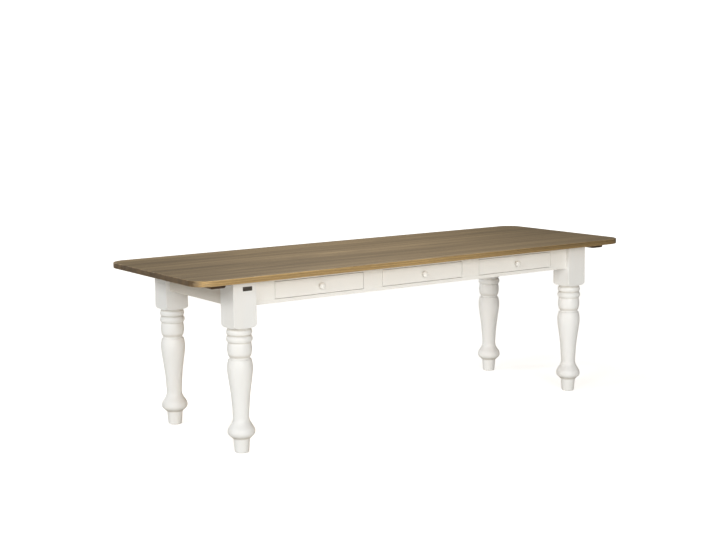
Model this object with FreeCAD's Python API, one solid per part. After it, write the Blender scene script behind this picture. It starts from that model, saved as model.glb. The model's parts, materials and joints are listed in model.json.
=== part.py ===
import FreeCAD, Part
import math
import os

# Farmhouse dining table: an oiled board top on a painted frame, with four turned legs
# and three drawers along the front.
# Millimetres. X runs along the table, the drawers face -Y, Z is up from the floor,
# and the origin lies on the floor under the middle of the top.

Vector = FreeCAD.Vector
UP = Vector(0, 0, 1)

# Board top
TABLE_HEIGHT = 760.0
TOP_LENGTH = 2400.0
TOP_WIDTH = 840.0
TOP_THICKNESS = 25.0
TOP_CORNER_RADIUS = 80.0
TOP_EDGE_ROUND = 3.0
BOARD_COUNT = 6

# Cross battens under the two ends of the top
BATTEN_WIDTH = 70.0
BATTEN_THICKNESS = 18.0
BATTEN_SETBACK = 53.0
BATTEN_TO_LEG_GAP = 40.0
BATTEN_CHAMFER = 4.0

# Leg block and its place under the top
LEG_BLOCK = 110.0
BLOCK_HEIGHT = 198.0
BLOCK_EDGE_ROUND = 2.0
SHOULDER_HEIGHT = 20.0
SHOULDER_LAND = 8.0
OVERHANG_END = 200.0
OVERHANG_SIDE = 62.0

# Turned part of the leg, from the floor up
TOE_RADIUS = 30.5
TOE_TOP_RADIUS = 35.5
TOE_HEIGHT = 63.0
TOE_EDGE_ROUND = 6.0
STEP_RADIUS = 39.5
STEP_HEIGHT = 2.5
BALL_RADIUS = 58.5
BALL_HEIGHT = 77.5
NECK_RADIUS = 35.0
VASE_RADIUS = 55.0
COVE_RADIUS = 43.5
COVE_HEIGHT = 15.0
CUP_RADIUS = 52.5
CUP_FOOT_RADIUS = 47.5
CUP_HEIGHT = 58.0
BEAD_RADIUS = 56.0
BEAD_HEIGHT = 30.0
CREASE_RADIUS = 48.5
CREASE_HEIGHT = 3.0
RING_RADIUS = 54.5
RING_EDGE_RADIUS = 51.5
RING_HEIGHT = 22.0
COLLAR_RADIUS = 49.5
COLLAR_HEIGHT = 9.0

# Ball and vase: (share of its height, share of the swell from the neck to its widest)
BALL_SHARES = ((0.0, 0.25), (0.05, 0.45), (0.11, 0.67), (0.175, 0.86), (0.25, 0.97),
               (0.325, 1.0), (0.415, 0.965), (0.51, 0.87), (0.605, 0.70), (0.715, 0.46),
               (0.82, 0.25), (0.915, 0.10))
VASE_SHARES = ((0.0, 0.03), (0.08, 0.0), (0.26, 0.14), (0.42, 0.33), (0.60, 0.64),
               (0.74, 0.88), (0.85, 1.0), (0.93, 0.92), (1.0, 0.72))
COVE_DEEPEST_SHARE = 0.6
CUP_WIDEST_SHARE = 0.46

# Aprons and the drawer frame
APRON_HEIGHT = 110.0
APRON_THICKNESS = 22.0
APRON_INSET = 20.0
BOTTOM_RAIL_HEIGHT = 16.0
TOP_RAIL_HEIGHT = 18.0
STILE_WIDTH = 101.5
DRAWER_NAMES = ("left", "middle", "right")

# Joinery
TENON_LENGTH = 40.0
TENON_THICKNESS = 10.0
RAIL_TENON_SHOULDER = 3.0
APRON_TENON_SHOULDER = 14.0
STUB_LENGTH = 4.0
STUB_THICKNESS = 8.0
STUB_SHOULDER = 5.0
JOINT_CLEARANCE = 0.2
JOINT_END_GAP = 1.0

# Drawer runners and kickers
RUNNER_WIDTH = 26.0
RUNNER_THICKNESS = 14.0
GUIDE_THICKNESS = 12.0
GUIDE_HEIGHT = 16.0
STOP_LENGTH = 14.0
KICKER_WIDTH = 50.0
SLIDE_CLEARANCE = 0.3
GUIDE_CLEARANCE = 0.8
STOP_CLEARANCE = 0.3
KICKER_CLEARANCE = 2.0

# Drawers
DRAWER_GAP = 2.0
DRAWER_FRONT_THICKNESS = 20.0
DRAWER_FRONT_EDGE_ROUND = 1.0
DRAWER_DEPTH = 480.0
DRAWER_SIDE_THICKNESS = 12.0
DRAWER_SIDE_DROP = 2.0
DRAWER_LAP = 12.0
DRAWER_BACK_THICKNESS = 12.0
DRAWER_BOTTOM_THICKNESS = 6.0
DRAWER_BOTTOM_RISE = 8.0
GROOVE_DEPTH = 6.0

# Turned knob with its glued spigot
KNOB_RADIUS = 14.0
KNOB_PROJECTION = 27.0
KNOB_BASE_RADIUS = 9.0
KNOB_BASE_HEIGHT = 3.0
KNOB_NECK_RADIUS = 6.0
KNOB_HEAD_HEIGHT = 17.0
SPIGOT_RADIUS = 5.0
SPIGOT_LENGTH = 14.0
SPIGOT_CLEARANCE = 0.1

# Buttons that hold the top to the aprons
BUTTON_LENGTH = 40.0
BUTTON_WIDTH = 30.0
BUTTON_TONGUE_LENGTH = 8.0
BUTTON_TONGUE_THICKNESS = 7.0
BUTTON_TONGUE_DROP = 5.0
BUTTON_HEIGHT = 18.0
BUTTON_SLOT_PLAY = 4.0
BUTTON_TO_LEG = 38.0

# Countersunk wood screws
SCREW_RADIUS = 2.2
SCREW_HEAD_RADIUS = 4.4
SCREW_HEAD_HEIGHT = 2.4
SCREW_TIP_LENGTH = 5.0
SCREW_TIP_RADIUS = 0.4
SCREW_BITE = 16.0
SCREW_CLEARANCE = 0.1

# Blank plate on the front left leg
PLATE_LENGTH = 44.0
PLATE_HEIGHT = 18.0
PLATE_THICKNESS = 1.2
PLATE_CORNER_RADIUS = 2.0
PLATE_OFFSET = 12.0
PLATE_DROP = 33.0
PIN_RADIUS = 0.8
PIN_HEAD_RADIUS = 1.6
PIN_HEAD_HEIGHT = 0.8
PIN_LENGTH = 8.0
PIN_INSET = 4.0

# How far a cutting shape runs past what it cuts
OVERRUN = 5.0

# Places worked out from the sizes above
UNDERSIDE = TABLE_HEIGHT - TOP_THICKNESS
BLOCK_BOTTOM = UNDERSIDE - BLOCK_HEIGHT
HALF_BLOCK = LEG_BLOCK / 2
LEG_X = TOP_LENGTH / 2 - OVERHANG_END - HALF_BLOCK
LEG_Y = TOP_WIDTH / 2 - OVERHANG_SIDE - HALF_BLOCK
BLOCK_INNER_X = LEG_X - HALF_BLOCK
BLOCK_INNER_Y = LEG_Y - HALF_BLOCK
APRON_FACE_X = LEG_X + HALF_BLOCK - APRON_INSET
APRON_FACE_Y = LEG_Y + HALF_BLOCK - APRON_INSET
APRON_BACK_X = APRON_FACE_X - APRON_THICKNESS
APRON_BACK_Y = APRON_FACE_Y - APRON_THICKNESS
APRON_MIDDLE_X = APRON_FACE_X - APRON_THICKNESS / 2
APRON_MIDDLE_Y = APRON_FACE_Y - APRON_THICKNESS / 2
APRON_BOTTOM = UNDERSIDE - APRON_HEIGHT
OPENING_BOTTOM = APRON_BOTTOM + BOTTOM_RAIL_HEIGHT
OPENING_TOP = UNDERSIDE - TOP_RAIL_HEIGHT
BOARD_WIDTH = TOP_WIDTH / BOARD_COUNT
DRAWER_COUNT = len(DRAWER_NAMES)
STILE_COUNT = DRAWER_COUNT + 1
DRAWER_OPENING_WIDTH = (2 * BLOCK_INNER_X - STILE_COUNT * STILE_WIDTH) / DRAWER_COUNT
DRAWER_PITCH = DRAWER_OPENING_WIDTH + STILE_WIDTH
DRAWER_BOTTOM_EDGE = OPENING_BOTTOM + DRAWER_GAP
DRAWER_SIDE_TOP = OPENING_TOP - DRAWER_GAP - DRAWER_SIDE_DROP
DRAWER_HALF_WIDTH = DRAWER_OPENING_WIDTH / 2 - DRAWER_GAP
DRAWER_FACE_Y = -APRON_FACE_Y
DRAWER_END_Y = DRAWER_FACE_Y + DRAWER_DEPTH
RUNNER_TOP = DRAWER_BOTTOM_EDGE - SLIDE_CLEARANCE
KICKER_BOTTOM = DRAWER_SIDE_TOP + KICKER_CLEARANCE
BATTEN_X = LEG_X + HALF_BLOCK + BATTEN_TO_LEG_GAP + BATTEN_WIDTH / 2
BATTEN_HALF_LENGTH = TOP_WIDTH / 2 - BATTEN_SETBACK

parts = {}


# Shared shapes

def box(x_ends, y_ends, z_ends):
    """A block between two places on each axis, in either order."""
    low = Vector(min(x_ends), min(y_ends), min(z_ends))
    high = Vector(max(x_ends), max(y_ends), max(z_ends))
    size = high - low
    return Part.makeBox(size.x, size.y, size.z, low)


def around(middle, width):
    """The two ends of a width that lies evenly about a middle."""
    return (middle - width / 2, middle + width / 2)


def grown(ends, amount):
    """The two ends moved apart by an amount each."""
    return (min(ends) - amount, max(ends) + amount)


def point(radius, height):
    """A point of a turned outline."""
    return Vector(radius, 0, height)


def line(start, end):
    return Part.makeLine(start, end)


def arc(start, middle, end):
    return Part.Arc(start, middle, end).toShape()


def turned(edges):
    """The solid that an outline of edges makes when it spins about Z."""
    return Part.Face(Part.Wire(edges)).revolve(Vector(), UP, 360)


def quarter_round(start, end):
    """An arc like a quarter ellipse, flat at its start and upright at its end."""
    reach = math.sqrt(0.5)
    middle = Vector(start.x + (end.x - start.x) * reach, 0, end.z + (start.z - end.z) * reach)
    return arc(start, middle, end)


def eased(solid, radius, wanted):
    """The solid with the edges that pass the test rounded."""
    edges = [edge for edge in solid.Edges if wanted(edge)]
    return solid.makeFillet(radius, edges)


def is_upright(edge):
    box_of_edge = edge.BoundBox
    return box_of_edge.ZLength > max(box_of_edge.XLength, box_of_edge.YLength)


def is_across_y(edge):
    box_of_edge = edge.BoundBox
    return box_of_edge.YLength > max(box_of_edge.XLength, box_of_edge.ZLength)


def screw(head, direction, length, clearance=0.0):
    """A countersunk screw from the middle of its head, or with a clearance its bore."""
    cone = Part.makeCone(SCREW_HEAD_RADIUS + clearance, SCREW_RADIUS + clearance,
                         SCREW_HEAD_HEIGHT, head, direction)
    shank_length = length - SCREW_HEAD_HEIGHT - SCREW_TIP_LENGTH
    shank_start = head + direction * SCREW_HEAD_HEIGHT
    shank = Part.makeCylinder(SCREW_RADIUS + clearance, shank_length, shank_start, direction)
    tip_start = shank_start + direction * shank_length
    tip = Part.makeCone(SCREW_RADIUS + clearance, SCREW_TIP_RADIUS + clearance,
                        SCREW_TIP_LENGTH + clearance, tip_start, direction)
    return cone.fuse([shank, tip]).removeSplitter()


# Screws into the top, each with the length that its piece needs

def top_screws_through(places, low, bite=SCREW_BITE):
    """Screws driven upwards at the places, with heads flush at the low face, and their bores."""
    length = UNDERSIDE - low + bite
    heads = [Vector(x, y, low) for x, y in places]
    screws = [screw(head, UP, length) for head in heads]
    bores = [screw(head, UP, length, SCREW_CLEARANCE) for head in heads]
    return screws, bores


board_middles = [-TOP_WIDTH / 2 + BOARD_WIDTH * (index + 0.5) for index in range(BOARD_COUNT)]
drawer_middles = [DRAWER_PITCH * (index - (DRAWER_COUNT - 1) / 2) for index in range(DRAWER_COUNT)]
stile_middles = [DRAWER_PITCH * (index - (STILE_COUNT - 1) / 2) for index in range(STILE_COUNT)]

kicker_screw_rows = [y for y in board_middles if abs(y) + SCREW_HEAD_RADIUS < APRON_BACK_Y]
kicker_places = [(x, y) for x in drawer_middles for y in kicker_screw_rows]
kicker_screws, kicker_bores = top_screws_through(kicker_places, KICKER_BOTTOM)

BATTEN_LOW = UNDERSIDE - BATTEN_THICKNESS
batten_screw_rows = [y for y in board_middles if abs(y) + SCREW_HEAD_RADIUS < BATTEN_HALF_LENGTH]
batten_places = [(side * BATTEN_X, y) for side in (-1, 1) for y in batten_screw_rows]
batten_screws, batten_bores = top_screws_through(batten_places, BATTEN_LOW)

# Buttons: two on each apron, beside the legs at the ends and behind the inner stiles along the sides
BUTTON_LOW = UNDERSIDE - BUTTON_HEIGHT
end_button_rows = [side * (BLOCK_INNER_Y - BUTTON_TO_LEG) for side in (-1, 1)]
side_button_columns = (stile_middles[1], stile_middles[-2])
button_seats = [(Vector(side * APRON_BACK_X, y, 0), Vector(side, 0, 0))
                for side in (-1, 1) for y in end_button_rows]
button_seats += [(Vector(x, side * APRON_BACK_Y, 0), Vector(0, side, 0))
                 for side in (-1, 1) for x in side_button_columns]
button_places = [(seat - outward * (BUTTON_LENGTH / 2)) for seat, outward in button_seats]
button_screws, button_bores = top_screws_through([(p.x, p.y) for p in button_places], BUTTON_LOW)


def button_block(seat, outward, start, length, width, low, high):
    """A block of a button, measured outwards from the apron's inner face."""
    across = Vector(outward.y, outward.x, 0)
    near = seat + outward * start - across * (width / 2)
    far = seat + outward * (start + length) + across * (width / 2)
    return box((near.x, far.x), (near.y, far.y), (low, high))


TONGUE_HIGH = UNDERSIDE - BUTTON_TONGUE_DROP
TONGUE_LOW = TONGUE_HIGH - BUTTON_TONGUE_THICKNESS


def make_button(seat, outward):
    """A wooden button: its body under the top and its tongue in the apron's slot."""
    body = button_block(seat, outward, -BUTTON_LENGTH, BUTTON_LENGTH, BUTTON_WIDTH, BUTTON_LOW, UNDERSIDE)
    tongue = button_block(seat, outward, 0, BUTTON_TONGUE_LENGTH, BUTTON_WIDTH, TONGUE_LOW, TONGUE_HIGH)
    return body.fuse(tongue).removeSplitter().cut(button_bores)


def button_slot(seat, outward):
    """The slot in an apron that a button's tongue slips into, with play for the wood to move."""
    return button_block(seat, outward, -OVERRUN, OVERRUN + BUTTON_TONGUE_LENGTH + JOINT_END_GAP,
                        BUTTON_WIDTH + 2 * BUTTON_SLOT_PLAY,
                        TONGUE_LOW - JOINT_CLEARANCE, TONGUE_HIGH + JOINT_CLEARANCE)


button_slots = [button_slot(seat, outward) for seat, outward in button_seats]
parts["top_buttons"] = Part.makeCompound([make_button(seat, outward) for seat, outward in button_seats])
parts["top_screws"] = Part.makeCompound(kicker_screws + button_screws)
parts["batten_screws"] = Part.makeCompound(batten_screws)


# Board top, one rounded slab cut into boards along its length

def make_boards():
    slab = box(around(0, TOP_LENGTH), around(0, TOP_WIDTH), (UNDERSIDE, TABLE_HEIGHT))
    slab = eased(slab, TOP_CORNER_RADIUS, is_upright)
    slab = eased(slab, TOP_EDGE_ROUND, lambda edge: not is_upright(edge))
    slab = slab.cut(kicker_bores + batten_bores + button_bores)
    for index, middle in enumerate(board_middles):
        strip = box(around(0, TOP_LENGTH + 2 * OVERRUN), around(middle, BOARD_WIDTH),
                    grown((UNDERSIDE, TABLE_HEIGHT), OVERRUN))
        parts["top_board_%d" % (index + 1)] = slab.common(strip)


make_boards()


# Cross battens, chamfered along their lower edges

def make_batten(side):
    batten = box(around(side * BATTEN_X, BATTEN_WIDTH), around(0, 2 * BATTEN_HALF_LENGTH),
                 (BATTEN_LOW, UNDERSIDE))
    lower = [edge for edge in batten.Edges if is_across_y(edge) and edge.BoundBox.ZMax < UNDERSIDE]
    return batten.makeChamfer(BATTEN_CHAMFER, lower).cut(batten_bores)


parts["end_batten_left"] = make_batten(-1)
parts["end_batten_right"] = make_batten(1)


# Tenons of the rails and aprons, and the mortises that they fill in the leg blocks

rail_heights = {
    "top": (OPENING_TOP, UNDERSIDE),
    "bottom": (APRON_BOTTOM, OPENING_BOTTOM),
}
apron_tenon_height = grown((APRON_BOTTOM, UNDERSIDE), -APRON_TENON_SHOULDER)


def rail_tenon_height(name):
    return grown(rail_heights[name], -RAIL_TENON_SHOULDER)


def long_tenon(side_x, side_y, heights, clearance=0.0, end_gap=0.0):
    """A tenon along X at one end of a rail or apron of the long sides, or with play its mortise."""
    start = BLOCK_INNER_X - (OVERRUN if end_gap else 0)
    end = BLOCK_INNER_X + TENON_LENGTH + end_gap
    y_ends = grown(around(side_y * APRON_MIDDLE_Y, TENON_THICKNESS), clearance)
    return box((side_x * start, side_x * end), y_ends, grown(heights, clearance))


def end_tenon(side_x, side_y, clearance=0.0, end_gap=0.0):
    """A tenon along Y at one end of an end apron, or with play its mortise."""
    start = BLOCK_INNER_Y - (OVERRUN if end_gap else 0)
    end = BLOCK_INNER_Y + TENON_LENGTH + end_gap
    x_ends = grown(around(side_x * APRON_MIDDLE_X, TENON_THICKNESS), clearance)
    return box(x_ends, (side_y * start, side_y * end), grown(apron_tenon_height, clearance))


# Legs

def leg_outline():
    """The edges of the turned part, from the axis at the floor to the axis at the block."""
    ball_start = TOE_HEIGHT + STEP_HEIGHT
    vase_start = ball_start + BALL_HEIGHT
    collar_start = BLOCK_BOTTOM - COLLAR_HEIGHT
    ring_start = collar_start - RING_HEIGHT
    crease_start = ring_start - CREASE_HEIGHT
    bead_start = crease_start - BEAD_HEIGHT
    cup_start = bead_start - CUP_HEIGHT
    cove_start = cup_start - COVE_HEIGHT
    vase_height = cove_start - vase_start

    def swell(start, height, widest, shares):
        return [point(NECK_RADIUS + (widest - NECK_RADIUS) * out, start + height * up) for up, out in shares]

    body = swell(ball_start, BALL_HEIGHT, BALL_RADIUS, BALL_SHARES)
    body += swell(vase_start, vase_height, VASE_RADIUS, VASE_SHARES)
    sweep = Part.BSplineCurve()
    sweep.interpolate(body)

    floor_edge = point(TOE_RADIUS - TOE_EDGE_ROUND, 0)
    toe_side = point(TOE_RADIUS, TOE_EDGE_ROUND)
    toe_top = point(TOE_TOP_RADIUS, TOE_HEIGHT)
    step_low = point(STEP_RADIUS, TOE_HEIGHT)
    cup_foot = point(CUP_FOOT_RADIUS, cup_start)
    bead_foot = point(CREASE_RADIUS, bead_start)
    bead_top = point(CREASE_RADIUS, crease_start)
    crease_top = point(CREASE_RADIUS, ring_start)
    ring_foot = point(RING_EDGE_RADIUS, ring_start)
    ring_top = point(RING_EDGE_RADIUS, collar_start)
    collar_foot = point(COLLAR_RADIUS, collar_start)
    collar_top = point(COLLAR_RADIUS, BLOCK_BOTTOM)
    return [
        line(point(0, 0), floor_edge),
        quarter_round(floor_edge, toe_side),
        line(toe_side, toe_top),
        line(toe_top, step_low),
        line(step_low, body[0]),
        sweep.toShape(),
        arc(body[-1], point(COVE_RADIUS, cove_start + COVE_HEIGHT * COVE_DEEPEST_SHARE), cup_foot),
        arc(cup_foot, point(CUP_RADIUS, cup_start + CUP_HEIGHT * CUP_WIDEST_SHARE), bead_foot),
        arc(bead_foot, point(BEAD_RADIUS, bead_start + BEAD_HEIGHT / 2), bead_top),
        line(bead_top, crease_top),
        line(crease_top, ring_foot),
        arc(ring_foot, point(RING_RADIUS, ring_start + RING_HEIGHT / 2), ring_top),
        line(ring_top, collar_foot),
        line(collar_foot, collar_top),
        line(collar_top, point(0, BLOCK_BOTTOM)),
        line(point(0, BLOCK_BOTTOM), point(0, 0)),
    ]


def leg_block():
    """The square block, with its lower corners turned away to round shoulders."""
    square = box(around(0, LEG_BLOCK), around(0, LEG_BLOCK), (BLOCK_BOTTOM, UNDERSIDE))
    square = eased(square, BLOCK_EDGE_ROUND, is_upright)
    shoulder_foot = point(HALF_BLOCK + SHOULDER_LAND, BLOCK_BOTTOM)
    shoulder_top = point(HALF_BLOCK * math.sqrt(2), BLOCK_BOTTOM + SHOULDER_HEIGHT)
    rim = point(shoulder_top.x, UNDERSIDE)
    envelope = turned([
        line(point(0, BLOCK_BOTTOM), shoulder_foot),
        quarter_round(shoulder_foot, shoulder_top),
        line(shoulder_top, rim),
        line(rim, point(0, UNDERSIDE)),
        line(point(0, UNDERSIDE), point(0, BLOCK_BOTTOM)),
    ])
    return square.common(envelope)


leg_blank = leg_block().fuse(turned(leg_outline())).removeSplitter()


def make_leg(side_x, side_y):
    """A leg under one corner of the top, with mortises for what meets its block."""
    leg = leg_blank.copy()
    leg.translate(Vector(side_x * LEG_X, side_y * LEG_Y, 0))
    cuts = [end_tenon(side_x, side_y, JOINT_CLEARANCE, JOINT_END_GAP)]
    if side_y < 0:
        heights = [rail_tenon_height(name) for name in rail_heights]
    else:
        heights = [apron_tenon_height]
    cuts += [long_tenon(side_x, side_y, pair, JOINT_CLEARANCE, JOINT_END_GAP) for pair in heights]
    return leg.cut(cuts)


for side_y, depth_name in ((-1, "front"), (1, "back")):
    for side_x, side_name in ((-1, "left"), (1, "right")):
        parts["leg_%s_%s" % (depth_name, side_name)] = make_leg(side_x, side_y)


# Stub tenons that hold stiles, runners and kickers

def upright_stub(x, edge, outward, width, clearance=0.0, end_gap=0.0):
    """A stub at the end of a stile, pointing up or down, or with play its mortise."""
    start = edge - outward * (OVERRUN if end_gap else 0)
    end = edge + outward * (STUB_LENGTH + end_gap)
    y_ends = grown(around(-APRON_MIDDLE_Y, STUB_THICKNESS), clearance)
    return box(grown(around(x, width), clearance), y_ends, (start, end))


def level_stub(x, side_y, middle_height, width, clearance=0.0, end_gap=0.0):
    """A stub at the front or back end of a runner or kicker, or with play its mortise."""
    start = APRON_BACK_Y - (OVERRUN if end_gap else 0)
    end = APRON_BACK_Y + STUB_LENGTH + end_gap
    z_ends = grown(around(middle_height, STUB_THICKNESS), clearance)
    return box(grown(around(x, width), clearance), (side_y * start, side_y * end), z_ends)


STILE_STUB_WIDTH = STILE_WIDTH - 2 * STUB_SHOULDER
RUNNER_STUB_WIDTH = RUNNER_WIDTH - 2 * STUB_SHOULDER
KICKER_STUB_WIDTH = KICKER_WIDTH - 2 * STUB_SHOULDER
RUNNER_STUB_HEIGHT = sum(rail_heights["bottom"]) / 2
KICKER_STUB_HEIGHT = sum(rail_heights["top"]) / 2
RUNNER_OFFSET = DRAWER_HALF_WIDTH + GUIDE_CLEARANCE - RUNNER_WIDTH / 2
runner_middles = [x + side * RUNNER_OFFSET for x in drawer_middles for side in (-1, 1)]


def stub_mortises(side_y):
    """Mortises for all runners and kickers in the front rails or the back apron."""
    play = (JOINT_CLEARANCE, JOINT_END_GAP)
    cuts = [level_stub(x, side_y, RUNNER_STUB_HEIGHT, RUNNER_STUB_WIDTH, *play) for x in runner_middles]
    cuts += [level_stub(x, side_y, KICKER_STUB_HEIGHT, KICKER_STUB_WIDTH, *play) for x in drawer_middles]
    return cuts


# Front frame: two rails with four stiles between them

front_depth = (-APRON_FACE_Y, -APRON_BACK_Y)


def make_front_rail(name, edge, outward):
    rail = box(around(0, 2 * BLOCK_INNER_X), front_depth, rail_heights[name])
    tenons = [long_tenon(side, -1, rail_tenon_height(name)) for side in (-1, 1)]
    cuts = stub_mortises(-1) + button_slots
    cuts += [upright_stub(x, edge, outward, STILE_STUB_WIDTH, JOINT_CLEARANCE, JOINT_END_GAP)
             for x in stile_middles]
    return rail.fuse(tenons).removeSplitter().cut(cuts)


def make_stile(x):
    stile = box(around(x, STILE_WIDTH), front_depth, (OPENING_BOTTOM, OPENING_TOP))
    stubs = [upright_stub(x, OPENING_TOP, 1, STILE_STUB_WIDTH),
             upright_stub(x, OPENING_BOTTOM, -1, STILE_STUB_WIDTH)]
    return stile.fuse(stubs).removeSplitter()


parts["front_top_rail"] = make_front_rail("top", OPENING_TOP, 1)
parts["front_bottom_rail"] = make_front_rail("bottom", OPENING_BOTTOM, -1)
for index, x in enumerate(stile_middles):
    parts["front_stile_%d" % (index + 1)] = make_stile(x)


# Back and end aprons

def make_back_apron():
    apron = box(around(0, 2 * BLOCK_INNER_X), (APRON_FACE_Y, APRON_BACK_Y), (APRON_BOTTOM, UNDERSIDE))
    tenons = [long_tenon(side, 1, apron_tenon_height) for side in (-1, 1)]
    return apron.fuse(tenons).removeSplitter().cut(stub_mortises(1) + button_slots)


def make_end_apron(side):
    apron = box((side * APRON_FACE_X, side * APRON_BACK_X), around(0, 2 * BLOCK_INNER_Y),
                (APRON_BOTTOM, UNDERSIDE))
    tenons = [end_tenon(side, side_y) for side_y in (-1, 1)]
    return apron.fuse(tenons).removeSplitter().cut(button_slots)


parts["back_apron"] = make_back_apron()
parts["end_apron_left"] = make_end_apron(-1)
parts["end_apron_right"] = make_end_apron(1)


# Drawer runners, each with a guide beside the drawer and a stop behind it, and kickers

inside_depth = (-APRON_BACK_Y, APRON_BACK_Y)


def make_runner(x, side):
    """A runner under one side of a drawer; side is -1 on the drawer's left."""
    inner = x + side * (DRAWER_HALF_WIDTH + GUIDE_CLEARANCE - RUNNER_WIDTH)
    guide_face = x + side * (DRAWER_HALF_WIDTH + GUIDE_CLEARANCE)
    outer = guide_face + side * GUIDE_THICKNESS
    stop_start = DRAWER_END_Y + STOP_CLEARANCE
    guide_top = RUNNER_TOP + GUIDE_HEIGHT
    shelf = box((inner, outer), inside_depth, (RUNNER_TOP - RUNNER_THICKNESS, RUNNER_TOP))
    guide = box((guide_face, outer), inside_depth, (RUNNER_TOP, guide_top))
    stop = box((inner, guide_face), (stop_start, stop_start + STOP_LENGTH), (RUNNER_TOP, guide_top))
    stubs = [level_stub(x + side * RUNNER_OFFSET, side_y, RUNNER_STUB_HEIGHT, RUNNER_STUB_WIDTH)
             for side_y in (-1, 1)]
    return shelf.fuse([guide, stop] + stubs).removeSplitter()


def make_kicker(x):
    """A bar above the middle of a drawer, which keeps the drawer level when it is pulled out."""
    bar = box(around(x, KICKER_WIDTH), inside_depth, (KICKER_BOTTOM, UNDERSIDE))
    stubs = [level_stub(x, side_y, KICKER_STUB_HEIGHT, KICKER_STUB_WIDTH) for side_y in (-1, 1)]
    return bar.fuse(stubs).removeSplitter().cut(kicker_bores)


for name, x in zip(DRAWER_NAMES, drawer_middles):
    parts["%s_drawer_left_runner" % name] = make_runner(x, -1)
    parts["%s_drawer_right_runner" % name] = make_runner(x, 1)
    parts["%s_drawer_kicker" % name] = make_kicker(x)


# Drawers

DRAWER_FRONT_BACK_Y = DRAWER_FACE_Y + DRAWER_FRONT_THICKNESS
DRAWER_INNER_HALF = DRAWER_HALF_WIDTH - DRAWER_SIDE_THICKNESS
PANEL_LOW = DRAWER_BOTTOM_EDGE + DRAWER_BOTTOM_RISE
PANEL_HIGH = PANEL_LOW + DRAWER_BOTTOM_THICKNESS
KNOB_HEIGHT = (OPENING_BOTTOM + OPENING_TOP) / 2
groove_height = (PANEL_LOW, PANEL_HIGH + JOINT_CLEARANCE)


def drawer_groove(x):
    """The groove that runs round the sides and the front for the bottom panel."""
    return box(around(x, 2 * (DRAWER_INNER_HALF + GROOVE_DEPTH)),
               (DRAWER_FRONT_BACK_Y - GROOVE_DEPTH, DRAWER_END_Y + OVERRUN), groove_height)


def make_drawer_front(x):
    """The flush front, lapped at both ends over the sides, with a blind hole for the knob."""
    front = box(around(x, 2 * DRAWER_HALF_WIDTH), (DRAWER_FACE_Y, DRAWER_FRONT_BACK_Y),
                (DRAWER_BOTTOM_EDGE, OPENING_TOP - DRAWER_GAP))
    front = eased(front, DRAWER_FRONT_EDGE_ROUND,
                  lambda edge: edge.BoundBox.YMax < DRAWER_FRONT_BACK_Y - DRAWER_LAP)
    lap_depth = (DRAWER_FRONT_BACK_Y - DRAWER_LAP, DRAWER_FRONT_BACK_Y + OVERRUN)
    lap_height = grown((DRAWER_BOTTOM_EDGE, OPENING_TOP), OVERRUN)
    laps = [box((x + side * (DRAWER_INNER_HALF - JOINT_CLEARANCE), x + side * (DRAWER_HALF_WIDTH + OVERRUN)),
                lap_depth, lap_height) for side in (-1, 1)]
    hole = Part.makeCylinder(SPIGOT_RADIUS + SPIGOT_CLEARANCE, OVERRUN + SPIGOT_LENGTH + JOINT_END_GAP,
                             Vector(x, DRAWER_FACE_Y - OVERRUN, KNOB_HEIGHT), Vector(0, 1, 0))
    return front.cut(laps + [hole, drawer_groove(x)])


def make_drawer_side(x, side):
    board = box((x + side * DRAWER_INNER_HALF, x + side * DRAWER_HALF_WIDTH),
                (DRAWER_FRONT_BACK_Y - DRAWER_LAP, DRAWER_END_Y), (DRAWER_BOTTOM_EDGE, DRAWER_SIDE_TOP))
    return board.cut(drawer_groove(x))


def make_drawer_back(x):
    return box(around(x, 2 * DRAWER_INNER_HALF), (DRAWER_END_Y - DRAWER_BACK_THICKNESS, DRAWER_END_Y),
               (PANEL_HIGH, DRAWER_SIDE_TOP))


def make_drawer_bottom(x):
    half = DRAWER_INNER_HALF + GROOVE_DEPTH - JOINT_CLEARANCE
    return box(around(x, 2 * half), (DRAWER_FRONT_BACK_Y - GROOVE_DEPTH + JOINT_CLEARANCE, DRAWER_END_Y),
               (PANEL_LOW, PANEL_HIGH))


def make_knob(x):
    """A turned knob: spigot, base, waist and a round head, turned along Z and then laid along -Y."""
    head_start = KNOB_PROJECTION - KNOB_HEAD_HEIGHT
    spigot_end = point(SPIGOT_RADIUS, -SPIGOT_LENGTH)
    spigot_top = point(SPIGOT_RADIUS, 0)
    base_edge = point(KNOB_BASE_RADIUS, 0)
    base_top = point(KNOB_BASE_RADIUS, KNOB_BASE_HEIGHT)
    waist = point(KNOB_NECK_RADIUS, (KNOB_BASE_HEIGHT + head_start) / 2)
    head_foot = point(KNOB_BASE_RADIUS, head_start)
    widest = point(KNOB_RADIUS, head_start + KNOB_HEAD_HEIGHT / 2)
    crown = point(0, KNOB_PROJECTION)
    dome = Part.BSplineCurve()
    dome.interpolate(Points=[head_foot, widest, crown], Tangents=[Vector(1, 0, 0), Vector(0, 0, 1),
                     Vector(-1, 0, 0)], TangentFlags=[True, True, True])
    knob = turned([
        line(point(0, -SPIGOT_LENGTH), spigot_end),
        line(spigot_end, spigot_top),
        line(spigot_top, base_edge),
        line(base_edge, base_top),
        arc(base_top, waist, head_foot),
        dome.toShape(),
        line(crown, point(0, -SPIGOT_LENGTH)),
    ])
    knob.rotate(Vector(), Vector(1, 0, 0), 90)
    knob.translate(Vector(x, DRAWER_FACE_Y, KNOB_HEIGHT))
    return knob


for name, x in zip(DRAWER_NAMES, drawer_middles):
    parts["%s_drawer_front" % name] = make_drawer_front(x)
    parts["%s_drawer_left_side" % name] = make_drawer_side(x, -1)
    parts["%s_drawer_right_side" % name] = make_drawer_side(x, 1)
    parts["%s_drawer_back" % name] = make_drawer_back(x)
    parts["%s_drawer_bottom" % name] = make_drawer_bottom(x)
    parts["%s_drawer_knob" % name] = make_knob(x)


# Blank plate on the front left leg, held by two pins

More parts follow.
